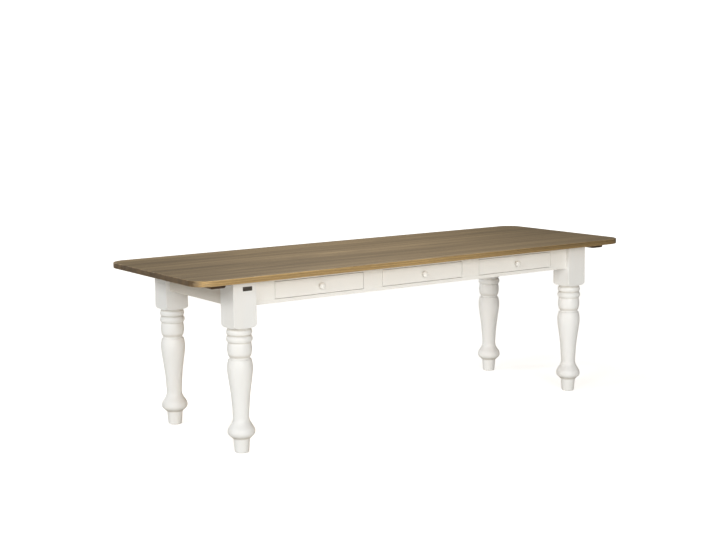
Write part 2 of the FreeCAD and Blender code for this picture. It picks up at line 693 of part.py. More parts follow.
PLATE_X = -LEG_X + PLATE_OFFSET
PLATE_Z = UNDERSIDE - PLATE_DROP
PLATE_BACK_Y = -LEG_Y - HALF_BLOCK
PLATE_FACE_Y = PLATE_BACK_Y - PLATE_THICKNESS
INWARD = Vector(0, 1, 0)


def pin_shank(x, radius, length, start):
    return Part.makeCylinder(radius, length, Vector(x, start, PLATE_Z), INWARD)


def make_plate():
    """The plate, its pins, and the leg with holes for them."""
    pin_columns = [PLATE_X + side * (PLATE_LENGTH / 2 - PIN_INSET) for side in (-1, 1)]
    bore_length = PIN_LENGTH + JOINT_END_GAP + OVERRUN
    bores = [pin_shank(x, PIN_RADIUS + SCREW_CLEARANCE, bore_length, PLATE_FACE_Y - OVERRUN)
             for x in pin_columns]
    plate = box(around(PLATE_X, PLATE_LENGTH), (PLATE_FACE_Y, PLATE_BACK_Y), around(PLATE_Z, PLATE_HEIGHT))
    corners = [edge for edge in plate.Edges if is_across_y(edge)]
    plate = plate.makeFillet(PLATE_CORNER_RADIUS, corners).cut(bores)
    pins = []
    for x in pin_columns:
        shank = pin_shank(x, PIN_RADIUS, PIN_LENGTH, PLATE_FACE_Y)
        head = pin_shank(x, PIN_HEAD_RADIUS, PIN_HEAD_HEIGHT, PLATE_FACE_Y - PIN_HEAD_HEIGHT)
        pins.append(shank.fuse(head).removeSplitter())
    parts["blank_plate"] = plate
    parts["plate_pins"] = Part.makeCompound(pins)
    parts["leg_front_left"] = parts["leg_front_left"].cut(bores)


make_plate()


# One file for each piece

os.makedirs("parts", exist_ok=True)
for name, shape in sorted(parts.items()):
    shape.exportStep("parts/%s.step" % name)
    print(name, "solids", len(shape.Solids), "valid", shape.isValid(), "volume", round(shape.Volume))
print("pieces", len(parts))
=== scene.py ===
"""Looks of a farmhouse dining table: an oiled board top on a painted frame with turned legs and drawers.

Metres. X runs along the table, the drawers face -Y, Z is up from the floor.
"""

import json
import logging
import math
import random
from abc import ABC, abstractmethod
from collections.abc import Callable, Iterator, Sequence
from contextlib import contextmanager
from dataclasses import dataclass, field
from enum import Enum
from typing import ClassVar

import bmesh
import bpy
import numpy as np
from mathutils import Matrix, Vector

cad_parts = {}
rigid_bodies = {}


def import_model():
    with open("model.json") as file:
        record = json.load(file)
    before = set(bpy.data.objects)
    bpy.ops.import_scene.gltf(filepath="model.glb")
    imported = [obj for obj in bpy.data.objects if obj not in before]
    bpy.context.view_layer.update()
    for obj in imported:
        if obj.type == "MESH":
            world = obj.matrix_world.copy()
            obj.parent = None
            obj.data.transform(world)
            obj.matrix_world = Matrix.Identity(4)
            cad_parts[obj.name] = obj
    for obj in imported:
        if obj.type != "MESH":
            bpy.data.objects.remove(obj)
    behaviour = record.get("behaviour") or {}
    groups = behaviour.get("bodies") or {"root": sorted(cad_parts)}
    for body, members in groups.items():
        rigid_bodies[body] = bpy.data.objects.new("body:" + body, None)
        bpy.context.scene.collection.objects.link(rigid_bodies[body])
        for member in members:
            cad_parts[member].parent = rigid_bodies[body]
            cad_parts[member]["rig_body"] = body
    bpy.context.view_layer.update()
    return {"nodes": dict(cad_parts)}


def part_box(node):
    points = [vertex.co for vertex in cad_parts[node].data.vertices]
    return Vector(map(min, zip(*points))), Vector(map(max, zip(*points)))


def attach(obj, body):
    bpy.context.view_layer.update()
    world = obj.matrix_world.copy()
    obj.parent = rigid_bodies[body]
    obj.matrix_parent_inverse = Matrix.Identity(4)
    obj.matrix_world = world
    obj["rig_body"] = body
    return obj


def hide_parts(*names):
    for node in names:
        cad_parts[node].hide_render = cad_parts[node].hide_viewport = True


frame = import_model()

LOG = logging.getLogger("dining_table")

# Points closer than this are one point
NEAR = 1e-5
# A face whose normal's upright part is larger than this lies level
LEVEL_LEAST = 0.9
# A face whose normal's largest part is smaller than this is an eased edge
ARRIS_MOST = 0.985
# The sharpest turn that still looks smooth, and the least that makes a hollow
SMOOTH_ANGLE = math.radians(32)
HOLLOW_ANGLE = math.radians(20)
# The size of the plane that an outline starts from, before it shrinks to a point
LATHE_START = 0.01
UP = Vector((0, 0, 1))
FORWARDS = Vector((0, -1, 0))

Piece = bpy.types.Object
Edge = bmesh.types.BMEdge
EdgeTest = Callable[[Edge], bool]
Node = bpy.types.Node
Socket = bpy.types.NodeSocket
Sockets = bpy.types.bpy_prop_collection
Inputs = dict[str | int, object]
Colour = tuple[float, float, float, float]
Triple = tuple[float, float, float]
# Swings a metre along X, Y and Z, and finer layers
Waves = tuple[Triple, float]
# The low and high value that go in, and what comes out at each, if not 0 and 1
Ramp = tuple[float, ...]
# A factor, and what is added
Slope = tuple[float, float]
# How far wear reaches, and the share that is gone there
Wear = tuple[float, float]
# The depth of a bump, and how much of it shows
Relief = tuple[float, float]


class Axis(Enum):
    """An axis of the table, by its place in a vector."""

    X = 0
    Y = 1
    Z = 2


class Join(Enum):
    """How a second solid changes a first one."""

    COMMON = "INTERSECT"
    FUSE = "UNION"


class Start(Enum):
    """Which way a quarter round sets out."""

    LEVEL = "level"
    UPRIGHT = "upright"


class Domain(Enum):
    """What an attribute has a number for."""

    POINT = "POINT"
    FACE = "FACE"


# Modelling at the bench


def clear_selection() -> None:
    """Leaves nothing selected, so that the next operator acts on its own piece alone."""
    bpy.ops.object.select_all(action="DESELECT")


def make_active(piece: Piece) -> None:
    """Selects one piece and makes it the active one.

    Args:
        piece: The piece to work on.
    """
    clear_selection()
    piece.select_set(True)
    bpy.context.view_layer.objects.active = piece


@contextmanager
def editing(piece: Piece) -> Iterator[None]:
    """Keeps a piece in edit mode for the length of a with block.

    Args:
        piece: The piece to edit.

    Returns:
        Nothing; the piece is back in object mode afterwards.
    """
    make_active(piece)
    bpy.ops.object.mode_set(mode="EDIT")
    yield
    bpy.ops.object.mode_set(mode="OBJECT")


def renamed(piece: Piece, name: str) -> Piece:
    """Gives a piece and its mesh one name.

    Args:
        piece: The piece.
        name: The new name.

    Returns:
        The same piece.
    """
    piece.name = name
    piece.data.name = name
    return piece


def new_block(name: str, low: Vector, high: Vector) -> Piece:
    """Adds a block of wood between two corners, with its place in its mesh.

    Args:
        name: The piece's name.
        low: The lowest corner.
        high: The highest corner.

    Returns:
        The block, at the origin, unturned and unscaled.
    """
    clear_selection()
    bpy.ops.mesh.primitive_cube_add(size=1.0, location=(low + high) / 2)
    block = bpy.context.active_object
    block.scale = high - low
    bpy.ops.object.transform_apply(location=True, rotation=True, scale=True)
    return renamed(block, name)


def middle_of(edge: Edge) -> Vector:
    """The middle of an edge."""
    return (edge.verts[0].co + edge.verts[1].co) / 2


def runs_along(edge: Edge, axis: Axis) -> bool:
    """Whether an edge lies along an axis."""
    span = edge.verts[1].co - edge.verts[0].co
    return abs(span[axis.value]) > span.length - NEAR


def is_rim(edge: Edge) -> bool:
    """Whether an edge lies between a level face and an upright one."""
    levels = [abs(face.normal.z) > LEVEL_LEAST for face in edge.link_faces]
    return len(levels) == 2 and levels[0] != levels[1]


def weld() -> None:
    """Joins the points of the piece in edit mode that lie as good as on each other."""
    bpy.ops.mesh.select_all(action="SELECT")
    bpy.ops.mesh.remove_doubles(threshold=NEAR)


def round_edges(piece: Piece, wanted: EdgeTest, radius: float, steps: int) -> None:
    """Rounds the edges that pass a test.

    Args:
        piece: The piece in object mode.
        wanted: The test.
        radius: How far the round reaches from the edge.
        steps: How many faces it has; one makes a chamfer.
    """
    with editing(piece):
        bpy.ops.mesh.select_mode(type="EDGE")
        bpy.ops.mesh.select_all(action="DESELECT")
        mesh = bmesh.from_edit_mesh(piece.data)
        for edge in filter(wanted, mesh.edges):
            edge.select_set(True)
        bmesh.update_edit_mesh(piece.data)
        bpy.ops.mesh.bevel(offset=radius, segments=steps, affect="EDGES")
        weld()


def smooth(piece: Piece) -> None:
    """Shades a piece smooth, except over its sharp edges, and keeps its large faces flat.

    Args:
        piece: The piece.
    """
    make_active(piece)
    bpy.ops.object.shade_smooth_by_angle(angle=SMOOTH_ANGLE)
    step = piece.modifiers.new("flat_faces", "WEIGHTED_NORMAL")
    step.keep_sharp = True
    bpy.ops.object.modifier_apply(modifier=step.name)


def join_solids(piece: Piece, tool: Piece, way: Join) -> None:
    """Changes a closed piece by a second one, which is used up.

    Args:
        piece: The piece that stays.
        tool: The piece that is used up.
        way: What is kept of the two.
    """
    make_active(piece)
    step = piece.modifiers.new(way.name, "BOOLEAN")
    step.operation = way.value
    step.solver = "EXACT"
    step.object = tool
    bpy.ops.object.modifier_apply(modifier=step.name)
    bpy.data.objects.remove(tool)
    with editing(piece):
        weld()


def move(piece: Piece, shift: Vector, turn: float = 0.0) -> None:
    """Turns a piece about the table's upright middle line, then shifts it, all in its mesh.

    Args:
        piece: The piece.
        shift: How far it is moved.
        turn: How far it is turned first.
    """
    make_active(piece)
    bpy.ops.transform.rotate(value=turn, orient_axis="Z", center_override=(0, 0, 0))
    bpy.ops.transform.translate(value=shift)
    bpy.ops.object.transform_apply(location=True, rotation=True, scale=True)


def copied(piece: Piece, name: str, shift: Vector, turn: float = 0.0) -> Piece:
    """Copies a piece, with a mesh of its own, to another place.

    Args:
        piece: The piece to copy.
        name: The copy's name.
        shift: How far the copy is moved.
        turn: How far it is turned first about the table's upright middle line.

    Returns:
        The copy, with its place in its mesh.
    """
    make_active(piece)
    bpy.ops.object.duplicate(linked=False)
    copy = renamed(bpy.context.active_object, name)
    move(copy, shift, turn)
    return copy


def repeated(pattern: Piece, names: Sequence[str], places: Sequence[Vector]) -> list[Piece]:
    """Names a piece and copies it to the other places of its like.

    Args:
        pattern: The piece, at the first place.
        names: The name of each piece.
        places: The place of each piece.

    Returns:
        All the pieces, the pattern first.
    """
    pieces = [renamed(pattern, names[0])]
    for name, place in zip(names[1:], places[1:]):
        pieces.append(copied(pattern, name, place - places[0]))
    return pieces


def set_values(piece: Piece, name: str, domain: Domain, values: np.ndarray) -> None:
    """Writes one number for each point or face of a piece, in the mesh's order."""
    attribute = piece.data.attributes.new(name, "FLOAT", domain.value)
    attribute.data.foreach_set("value", values.astype(np.float32))


def points_of(piece: Piece) -> np.ndarray:
    """Gives the points of a piece's mesh.

    Args:
        piece: The piece.

    Returns:
        The points, one row each.
    """
    flat = np.zeros(len(piece.data.vertices) * 3, np.float32)
    piece.data.vertices.foreach_get("co", flat)
    return flat.reshape(-1, 3)


def mark_arrises(piece: Piece, above: float = 0.0) -> None:
    """Marks the eased edges of a squared piece, where a finish wears first.

    Args:
        piece: The piece.
        above: Only faces whose middle is higher than this count.
    """
    faces = piece.data.polygons
    marks = [max(map(abs, face.normal)) < ARRIS_MOST and face.center.z > above for face in faces]
    set_values(piece, "arris", Domain.FACE, np.array(marks))


class Profile:
    """The outline of a turned piece, as radius and height, drawn upwards."""

    def __init__(self, radius: float, height: float) -> None:
        """Starts the outline at a point."""
        self.points: list[Vector] = [Vector((radius, height))]

    def line_to(self, radius: float, height: float, steps: int = 1) -> "Profile":
        """Draws a straight line.

        Args:
            radius: The end's radius.
            height: The end's height.
            steps: How many pieces the line is cut into.

        Returns:
            The same outline.
        """
        start, end = self.points[-1], Vector((radius, height))
        self.points += [start.lerp(end, step / steps) for step in range(1, steps + 1)]
        return self

    def arc_to(self, through: Sequence[float], end: Sequence[float], steps: int = 10) -> "Profile":
        """Draws the arc through a point to an end.

        Args:
            through: A point of the arc.
            end: The arc's end.
            steps: How many straight pieces stand for the arc.

        Returns:
            The same outline.
        """
        start, middle, last = self.points[-1], Vector(through), Vector(end)
        first, second = middle - start, last - start
        twice_area = 2 * (first.x * second.y - first.y * second.x)
        to_centre = Vector((
            second.y * first.length_squared - first.y * second.length_squared,
            first.x * second.length_squared - second.x * first.length_squared,
        )) / twice_area
        centre = start + to_centre
        spoke = start - centre
        sweep = math.atan2(*reversed(last - centre)) - math.atan2(*reversed(spoke))
        if (sweep > 0) != (twice_area > 0):
            sweep += math.copysign(math.tau, twice_area)
        for step in range(1, steps + 1):
            turn = Matrix.Rotation(sweep * step / steps, 2)
            self.points.append(centre + turn @ spoke)
        return self

    def quarter_to(self, radius: float, height: float, steps: int, start: Start) -> "Profile":
        """Draws a quarter of an ellipse.

        Args:
            radius: The end's radius.
            height: The end's height.
            steps: How many straight pieces stand for it.
            start: Whether it sets out level and ends upright, or the other way round.

        Returns:
            The same outline.
        """
        first = self.points[-1]
        span = Vector((radius, height)) - first
        for step in range(1, steps + 1):
            turn = math.pi / 2 * step / steps
            early, late = math.sin(turn), 1 - math.cos(turn)
            out, up = (early, late) if start is Start.LEVEL else (late, early)
            self.points.append(first + Vector((span.x * out, span.y * up)))
        return self

    def curve_through(self, knots: Sequence[Vector], steps: int = 6) -> "Profile":
        """Draws a smooth curve through knots, starting at the outline's end.

        Args:
            knots: The points that the curve passes after its start.
            steps: How many straight pieces lie between two knots.

        Returns:
            The same outline.
        """
        chain = [self.points[-1], *knots]
        slopes = self._slopes(chain)
        for start, end, out, into in zip(chain, chain[1:], slopes, slopes[1:]):
            rise = end.y - start.y
            for step in range(1, steps + 1):
                t = step / steps
                radius = ((1 + 2 * t) * (1 - t) ** 2 * start.x + t * (1 - t) ** 2 * rise * out
                          + t * t * (3 - 2 * t) * end.x + t * t * (t - 1) * rise * into)
                self.points.append(Vector((radius, start.y + rise * t)))
        return self

    @staticmethod
    def _slopes(chain: Sequence[Vector]) -> np.ndarray:
        """The slopes of the smoothest curve through knots of rising height.

        Args:
            chain: The knots.

        Returns:
            The change of radius with height at each knot.
        """
        count = len(chain)
        matrix, right = np.zeros((count, count)), np.zeros(count)
        for index in range(count):
            for near, far in ((index - 1, index), (index, index + 1)):
                if near < 0 or far >= count:
                    continue
                gap = chain[far].y - chain[near].y
                matrix[index, index] += 2 / gap
                matrix[index, far if near == index else near] += 1 / gap
                right[index] += 3 * (chain[far].x - chain[near].x) / gap ** 2
        return np.linalg.solve(matrix, right)

    def hollow_heights(self) -> list[float]:
        """Finds the sharp inner corners, where the paint gets painted shade.

        Returns:
            The corners' heights.
        """
        found = []
        for before, here, after in zip(self.points, self.points[1:], self.points[2:]):
            first, second = here - before, after - here
            turn = math.atan2(first.x * second.y - first.y * second.x, first.dot(second))
            if turn < -HOLLOW_ANGLE:
                found.append(here.y)
        return found


def turn_on_lathe(name: str, outline: Profile, foot: Vector, steps: int, along: Vector = UP) -> Piece:
    """Spins an outline about an axis into a closed piece.

    Args:
        name: The piece's name.
        outline: The outline, which starts and ends on the axis.
        foot: The point on the axis at height zero.
        steps: How many faces go round.
        along: The way that the axis points, at right angles to X.

    Returns:
        The turned piece, with its place in its mesh.
    """
    clear_selection()
    bpy.ops.mesh.primitive_plane_add(size=LATHE_START)
    piece = bpy.context.active_object
    places = [foot + Vector((point.x, 0, 0)) + along * point.y for point in outline.points]
    with editing(piece):
        bpy.ops.mesh.select_mode(type="VERT")
        bpy.ops.mesh.merge(type="CENTER")
        bpy.ops.transform.translate(value=places[0])
        for before, after in zip(places, places[1:]):
            bpy.ops.mesh.extrude_region_move(TRANSFORM_OT_translate={"value": after - before})
        bpy.ops.mesh.select_all(action="SELECT")
        bpy.ops.mesh.spin(steps=steps, angle=math.tau, center=foot, axis=along)
        weld()
        bpy.ops.mesh.normals_make_consistent(inside=False)
    return renamed(piece, name)


# Shader nodes


class Graph:
    """A node tree with short calls to place and link nodes."""

    def __init__(self, tree: bpy.types.NodeTree) -> None:
        """Works on one tree."""
        self.tree = tree

    def feed(self, node: Node, inputs: Inputs) -> None:
        """Links the inputs of a node to other sockets, or sets their own values.

        Args:
            node: The node.
            inputs: Sockets, numbers or tuples, by the name or number of the input.
        """
        for key, value in inputs.items():
            if isinstance(value, Socket):
                self.tree.links.new(value, node.inputs[key])
            else:
                node.inputs[key].default_value = value

    def node(self, kind: str, inputs: Inputs | None = None, **settings: object) -> Node:
        """Places a node.

        Args:
            kind: The node's type.
            inputs: What goes into it, as feed takes it.
            **settings: The node's own options.

        Returns:
            The node.
        """
        made = self.tree.nodes.new(kind)
        for key, value in settings.items():
            setattr(made, key, value)
        self.feed(made, inputs or {})
        return made

    def group(self, shared: "SharedGroup", inputs: Inputs) -> Sockets:
        """Places a shared group and gives its outputs."""
        return self.node("ShaderNodeGroup", inputs, node_tree=shared.tree).outputs

    def attribute(self, name: str, output: str = "Fac") -> Socket:
        """One of a piece's own attributes."""
        return self.node("ShaderNodeAttribute", attribute_name=name).outputs[output]

    def chance(self, seed: Socket, output: str) -> Socket:
        """A colour or value that only the seed settles."""
        return self.node("ShaderNodeTexWhiteNoise", {"W": seed}, noise_dimensions="1D").outputs[output]

    def parts(self, vector: Socket) -> Sockets:
        """The sockets X, Y and Z of a vector or colour."""
        return self.node("ShaderNodeSeparateXYZ", {0: vector}).outputs

    def math(self, operation: str, *values: object) -> Socket:
        """Works with numbers."""
        return self.node("ShaderNodeMath", dict(enumerate(values)), operation=operation).outputs[0]

    def vector(self, operation: str, *values: object) -> Socket:
        """Works with vectors."""
        made = self.node("ShaderNodeVectorMath", dict(enumerate(values)), operation=operation)
        return made.outputs["Vector"]

    def times(self, first: object, second: object) -> Socket:
        """The product of two numbers."""
        return self.math("MULTIPLY", first, second)

    def sloped(self, value: object, factor: object, base: object) -> Socket:
        """A number times a factor, and what is added."""
        return self.math("MULTIPLY_ADD", value, factor, base)

    def ramp(self, value: object, low: float, high: float, start: float = 0.0, end: float = 1.0) -> Socket:
        """Turns the range from low to high smoothly into the range from start to end."""
        inputs = dict(enumerate((value, low, high, start, end)))
        return self.node("ShaderNodeMapRange", inputs, interpolation_type="SMOOTHSTEP").outputs[0]

    def noise(self, place: Socket, swings: Triple, layers: float) -> Socket:
        """A noise about one half, with its own number of swings a metre on each axis."""
        scaled = self.vector("MULTIPLY", place, swings)
        return self.node("ShaderNodeTexNoise", {"Vector": scaled, "Scale": 1.0, "Detail": layers}).outputs[0]

    def mix(self, share: object, first: object, second: object, blend: str = "MIX") -> Socket:
        """Mixes a share of a second colour into a first one."""
        inputs = {0: share, 6: first, 7: second}
        return self.node("ShaderNodeMix", inputs, data_type="RGBA", blend_type=blend).outputs[2]

    def lay(self, under: object, over: Colour, mask: Socket, share: float) -> Socket:
        """Lays a share of one colour over another where a mask is."""
        return self.mix(self.times(mask, share), under, over)

    def toned(self, colour: Socket, tone: Socket) -> Socket:
        """A colour, lighter or darker by a tone."""
        grey = self.node("ShaderNodeCombineXYZ", {"X": tone, "Y": tone, "Z": tone}).outputs[0]
        return self.mix(1.0, colour, grey, "MULTIPLY")


class Sheet(Graph):
    """A material's tree, with its shader and a position that is turned so that the grain runs along X."""

    def __init__(self, name: str, turn: Triple) -> None:
        """Starts a material.

        Args:
            name: The material's name.
            turn: The turn that brings its grain to X.
        """
        self.material = bpy.data.materials.new(name)
        self.material.use_nodes = True
        super().__init__(self.material.node_tree)
        self.turn = turn
        self.shader = self.tree.nodes["Principled BSDF"]
        self.place = self.turned(self.node("ShaderNodeTexCoord").outputs["Object"], "POINT")

    def turned(self, vector: Socket, kind: str) -> Socket:
        """A position or a direction, turned as the grain is."""
        inputs = {"Vector": vector, "Rotation": self.turn}
        return self.node("ShaderNodeMapping", inputs, vector_type=kind).outputs["Vector"]

    def facing(self) -> Sockets:
        """The way that the surface faces, turned as the grain is, as the sockets X, Y and Z."""
        normal = self.node("ShaderNodeNewGeometry").outputs["Normal"]
        return self.parts(self.turned(normal, "VECTOR"))

    def coat(self, inputs: Inputs) -> None:
        """Feeds the shader."""
        self.feed(self.shader, inputs)

    def press(self, height: Socket, depth: float, strength: float) -> None:
        """Presses a height from 0 to 1 into the surface, to a real depth."""
        made = self.node("ShaderNodeBump", {"Height": height, "Distance": depth, "Strength": strength})
        self.coat({"Normal": made.outputs["Normal"]})


class SharedGroup(ABC):
    """An effect that several finishes use, built once as a shader group."""

    name: ClassVar[str]
    inputs: ClassVar[dict[str, str]]
    outputs: ClassVar[tuple[str, ...]]

    def __init__(self) -> None:
        """Builds the group."""
        self.tree = bpy.data.node_groups.new(self.name, "ShaderNodeTree")
        for label, kind in self.inputs.items():
            self.tree.interface.new_socket(name=label, in_out="INPUT", socket_type=kind)
        for label in self.outputs:
            self.tree.interface.new_socket(name=label, in_out="OUTPUT", socket_type="NodeSocketFloat")
        graph = Graph(self.tree)
        entry = graph.node("NodeGroupInput").outputs
        graph.feed(graph.node("NodeGroupOutput"), self.draw(graph, entry))

    @abstractmethod
    def draw(self, graph: Graph, entry: Sockets) -> Inputs:
        """Draws the effect.

        Args:
            graph: The group's tree.
            entry: The group's inputs, by name.

        Returns:
            What each output gives.
        """


class WoodFigure(SharedGroup):
    """Growth rings, fibres and pores of a board whose grain runs along X."""

    name = "wood_figure"
    inputs = {"Position": "NodeSocketVector", "Seed": "NodeSocketFloat", "Ring Width": "NodeSocketFloat"}
    outputs = ("Ring", "Fibre", "Pore", "Streak")

    SEED_SHIFT: Triple = (9.0, 9.0, 9.0)
    HEART_ACROSS: Slope = (0.12, -0.06)
    HEART_BELOW: Slope = (0.09, 0.035)
    WARP: Waves = ((0.9, 6.0, 6.0), 2.0)
    WARP_DEPTH = 0.05
    SHAKE: Waves = ((3.0, 40.0, 40.0), 2.0)
    SHAKE_DEPTH = 0.004
    RING_RISE: Ramp = (0.15, 0.85)
    RING_FALL: Ramp = (0.88, 1.0, 1.0, 0.0)
    FIBRE: Waves = ((9.0, 420.0, 420.0), 4.0)
    PORE: Waves = ((34.0, 900.0, 900.0), 1.0)
    PORE_LIMITS: Ramp = (0.60, 0.72)
    STREAK: Waves = ((0.8, 26.0, 26.0), 3.0)

    def draw(self, graph: Graph, entry: Sockets) -> Inputs:
        """Draws the figure about a heart that lies below the board, elsewhere for each seed.

        Args:
            graph: The group's tree.
            entry: The group's inputs, by name.

        Returns:
            What each output gives.
        """
        chance = graph.chance(entry["Seed"], "Color")
        moved = graph.vector("MULTIPLY_ADD", chance, self.SEED_SHIFT, entry["Position"])
        place, chances = graph.parts(entry["Position"]), graph.parts(chance)
        across = graph.math("ADD", place["Y"], graph.sloped(chances["X"], *self.HEART_ACROSS))
        below = graph.math("ADD", place["Z"], graph.sloped(chances["Y"], *self.HEART_BELOW))
        squares = [graph.math("POWER", side, 2.0) for side in (across, below)]
        reach = graph.math("SQRT", graph.math("ADD", *squares))
        reach = graph.sloped(graph.noise(moved, *self.WARP), self.WARP_DEPTH, reach)
        reach = graph.sloped(graph.noise(moved, *self.SHAKE), self.SHAKE_DEPTH, reach)
        phase = graph.math("FRACT", graph.math("DIVIDE", reach, entry["Ring Width"]))
        return {
            "Ring": graph.times(graph.ramp(phase, *self.RING_RISE), graph.ramp(phase, *self.RING_FALL)),
            "Fibre": graph.noise(moved, *self.FIBRE),
            "Pore": graph.ramp(graph.noise(moved, *self.PORE), *self.PORE_LIMITS),
            "Streak": graph.noise(moved, *self.STREAK),
        }


class PaintFilm(SharedGroup):
    """Brush strokes along X, and a slow drift of tone, in a coat of paint."""

    name = "paint_film"
    inputs = {"Position": "NodeSocketVector"}
    outputs = ("Stroke", "Drift", "Grain")

    WAVES: dict[str, Waves] = {
        "Stroke": ((5.0, 330.0, 330.0), 3.0),
        "Drift": ((2.2, 5.0, 5.0), 3.0),
        "Grain": ((14.0, 900.0, 900.0), 2.0),
    }

    def draw(self, graph: Graph, entry: Sockets) -> Inputs:
        """Gives each output its own noise."""
        return {label: graph.noise(entry["Position"], *waves) for label, waves in self.WAVES.items()}


class WornPatches(SharedGroup):
    """Where a finish is rubbed away, in patches along the marked edges."""

    name = "worn_patches"
    inputs = {"Position": "NodeSocketVector", "Edge": "NodeSocketFloat", "Reach": "NodeSocketFloat"}
    outputs = ("Mask",)

    PATCHES: Waves = ((31.0, 31.0, 31.0), 5.0)
    SHARPNESS = 9.0

    def draw(self, graph: Graph, entry: Sockets) -> Inputs:
        """Draws the patches.

        Args:
            graph: The group's tree.
            entry: The group's inputs, by name.

        Returns:
            What each output gives.
        """
        patches = graph.noise(entry["Position"], *self.PATCHES)
        limit = graph.math("SUBTRACT", 1.0, entry["Reach"])
        rubbed = graph.times(graph.math("SUBTRACT", patches, limit), self.SHARPNESS)
        kept = graph.node("ShaderNodeClamp", {"Value": rubbed}).outputs[0]
        return {"Mask": graph.times(kept, entry["Edge"])}


@dataclass(frozen=True)
class Groups:
    """The shared shader groups."""

    figure: WoodFigure = field(default_factory=WoodFigure)
    film: PaintFilm = field(default_factory=PaintFilm)
    wear: WornPatches = field(default_factory=WornPatches)


# Finishes

GRAIN_TURNS = {Axis.X: (0, 0, 0), Axis.Y: (0, 0, math.pi / 2), Axis.Z: (0, math.pi / 2, 0)}


@dataclass(frozen=True, kw_only=True)
class Finish(ABC):
    """A finish, which makes one material for each direction that it can run in."""

    slot: ClassVar[str]
    groups: Groups
    label: str = ""

    @abstractmethod
    def draw(self, sheet: Sheet) -> None:
        """Draws the finish.

        Args:
            sheet: The new material.
        """

    def material(self, axis: Axis) -> bpy.types.Material:
        """Gives the material whose grain or brush strokes run along an axis.

        Args:
            axis: The direction of the grain.

        Returns:
            The material, made at its first use.
        """
        name = "_".join(filter(None, (self.slot, self.label, axis.name.lower())))
        if name not in bpy.data.materials:
            self.draw(Sheet(name, GRAIN_TURNS[axis]))
        return bpy.data.materials[name]

    def rubbed(self, sheet: Sheet, colour: Socket, under: Colour, wear: Wear) -> Socket:
        """Rubs a colour away along the marked edges.

        Args:
            sheet: The material.
            colour: The finish's colour.
            under: The colour beneath it.
            wear: How far the wear reaches, and the share that is gone there.

        Returns:
            The worn colour.
        """
        reach, share = wear
        edge = sheet.attribute("arris")
        worn = sheet.group(self.groups.wear, {"Position": sheet.place, "Edge": edge, "Reach": reach})
        return sheet.lay(colour, under, worn["Mask"], share)


@dataclass(frozen=True, kw_only=True)
class OiledWood(Finish):
    """Oiled boards: golden along the edge and dark on the end grain, with a grey-brown patina and painted
    shade and sheen on top.
    """

    slot = "oiled_wood"
    early: Colour
    late: Colour
    # The grey-brown of upward faces: the boards' patina, with painted shade and painted sheen
    top_sheen_and_patina: Colour
    end_grain: Colour = (0.047, 0.025, 0.011, 1)
    pore: Colour = (0.070, 0.045, 0.026, 1)
    worn: Colour = (0.400, 0.290, 0.165, 1)
    ring_width: float = 0.0075
    late_in_ring: float = 0.42
    late_in_fibre: float = 0.5
    streak_tones: Ramp = (0.30, 0.72, 0.72, 1.22)
    board_tones: Slope = (0.30, 0.85)
    ring_tones: Slope = (-0.16, 1.05)
    # Which faces count as upright for the painted shade along the front board
    upright_turn: Ramp = (0.1, 0.9, 1.0, 0.0)
    level_turn: Ramp = (0.5, 0.95)
    end_turn: Ramp = (0.55, 0.9)
    top_sheen_and_patina_share: float = 0.76
    end_share: float = 0.86
    wear: Wear = (0.55, 0.35)
    seam_share: float = 0.75
    pore_share: float = 0.45
    fibre_roughness: Slope = (0.18, 0.42)
    pore_roughness: float = 0.1
    gloss: float = 0.40
    ring_height: float = 0.2
    pore_height: float = -0.8
    relief: Relief = (0.00020, 0.5)

    def draw(self, sheet: Sheet) -> None:
        """Draws the finish, with a figure of its own for each board.

        Args:
            sheet: The new material.
        """
        seed = sheet.attribute("grain_seed")
        own = sheet.vector("SUBTRACT", sheet.place, sheet.attribute("grain_origin", "Vector"))
        inputs = {"Position": own, "Seed": seed, "Ring Width": self.ring_width}
        ring, fibre, pore, streak = sheet.group(self.groups.figure, inputs)
        facing = sheet.facing()
        depth = sheet.sloped(ring, self.late_in_ring, sheet.times(fibre, self.late_in_fibre))
        colour = sheet.mix(depth, self.early, self.late)
        # Painted shade and sheen over the boards' patina: upward faces turn grey-brown
        above = sheet.ramp(facing["Z"], *self.level_turn)
        colour = sheet.lay(colour, self.top_sheen_and_patina, above, self.top_sheen_and_patina_share)
        ends = sheet.ramp(sheet.math("ABSOLUTE", facing["X"]), *self.end_turn)
        colour = sheet.lay(colour, self.end_grain, ends, self.end_share)
        colour = self.rubbed(sheet, colour, self.worn, self.wear)
        seam = sheet.times(sheet.attribute("seam"), self.seam_share)
        dark = sheet.math("MAXIMUM", seam, sheet.times(pore, self.pore_share))
        colour = sheet.mix(dark, colour, self.pore)
        tone = sheet.times(sheet.ramp(streak, *self.streak_tones),
                           sheet.sloped(sheet.chance(seed, "Value"), *self.board_tones))
        tone = sheet.times(tone, sheet.sloped(ring, *self.ring_tones))
        # Painted shade: the front board's upright faces darken towards the right end of the table
        upright = sheet.ramp(sheet.math("ABSOLUTE", facing["Z"]), *self.upright_turn)
        edge_shade = sheet.times(upright, sheet.math("MAXIMUM", sheet.attribute("edge_fade"), 0.0))
        tone = sheet.times(tone, sheet.math("SUBTRACT", 1.0, edge_shade))
        rough = sheet.sloped(fibre, *self.fibre_roughness)
        sheet.coat({"Base Color": sheet.toned(colour, tone), "Specular IOR Level": self.gloss,
                    "Roughness": sheet.sloped(pore, self.pore_roughness, rough)})
        height = sheet.sloped(pore, self.pore_height, sheet.sloped(ring, self.ring_height, fibre))
        sheet.press(height, *self.relief)


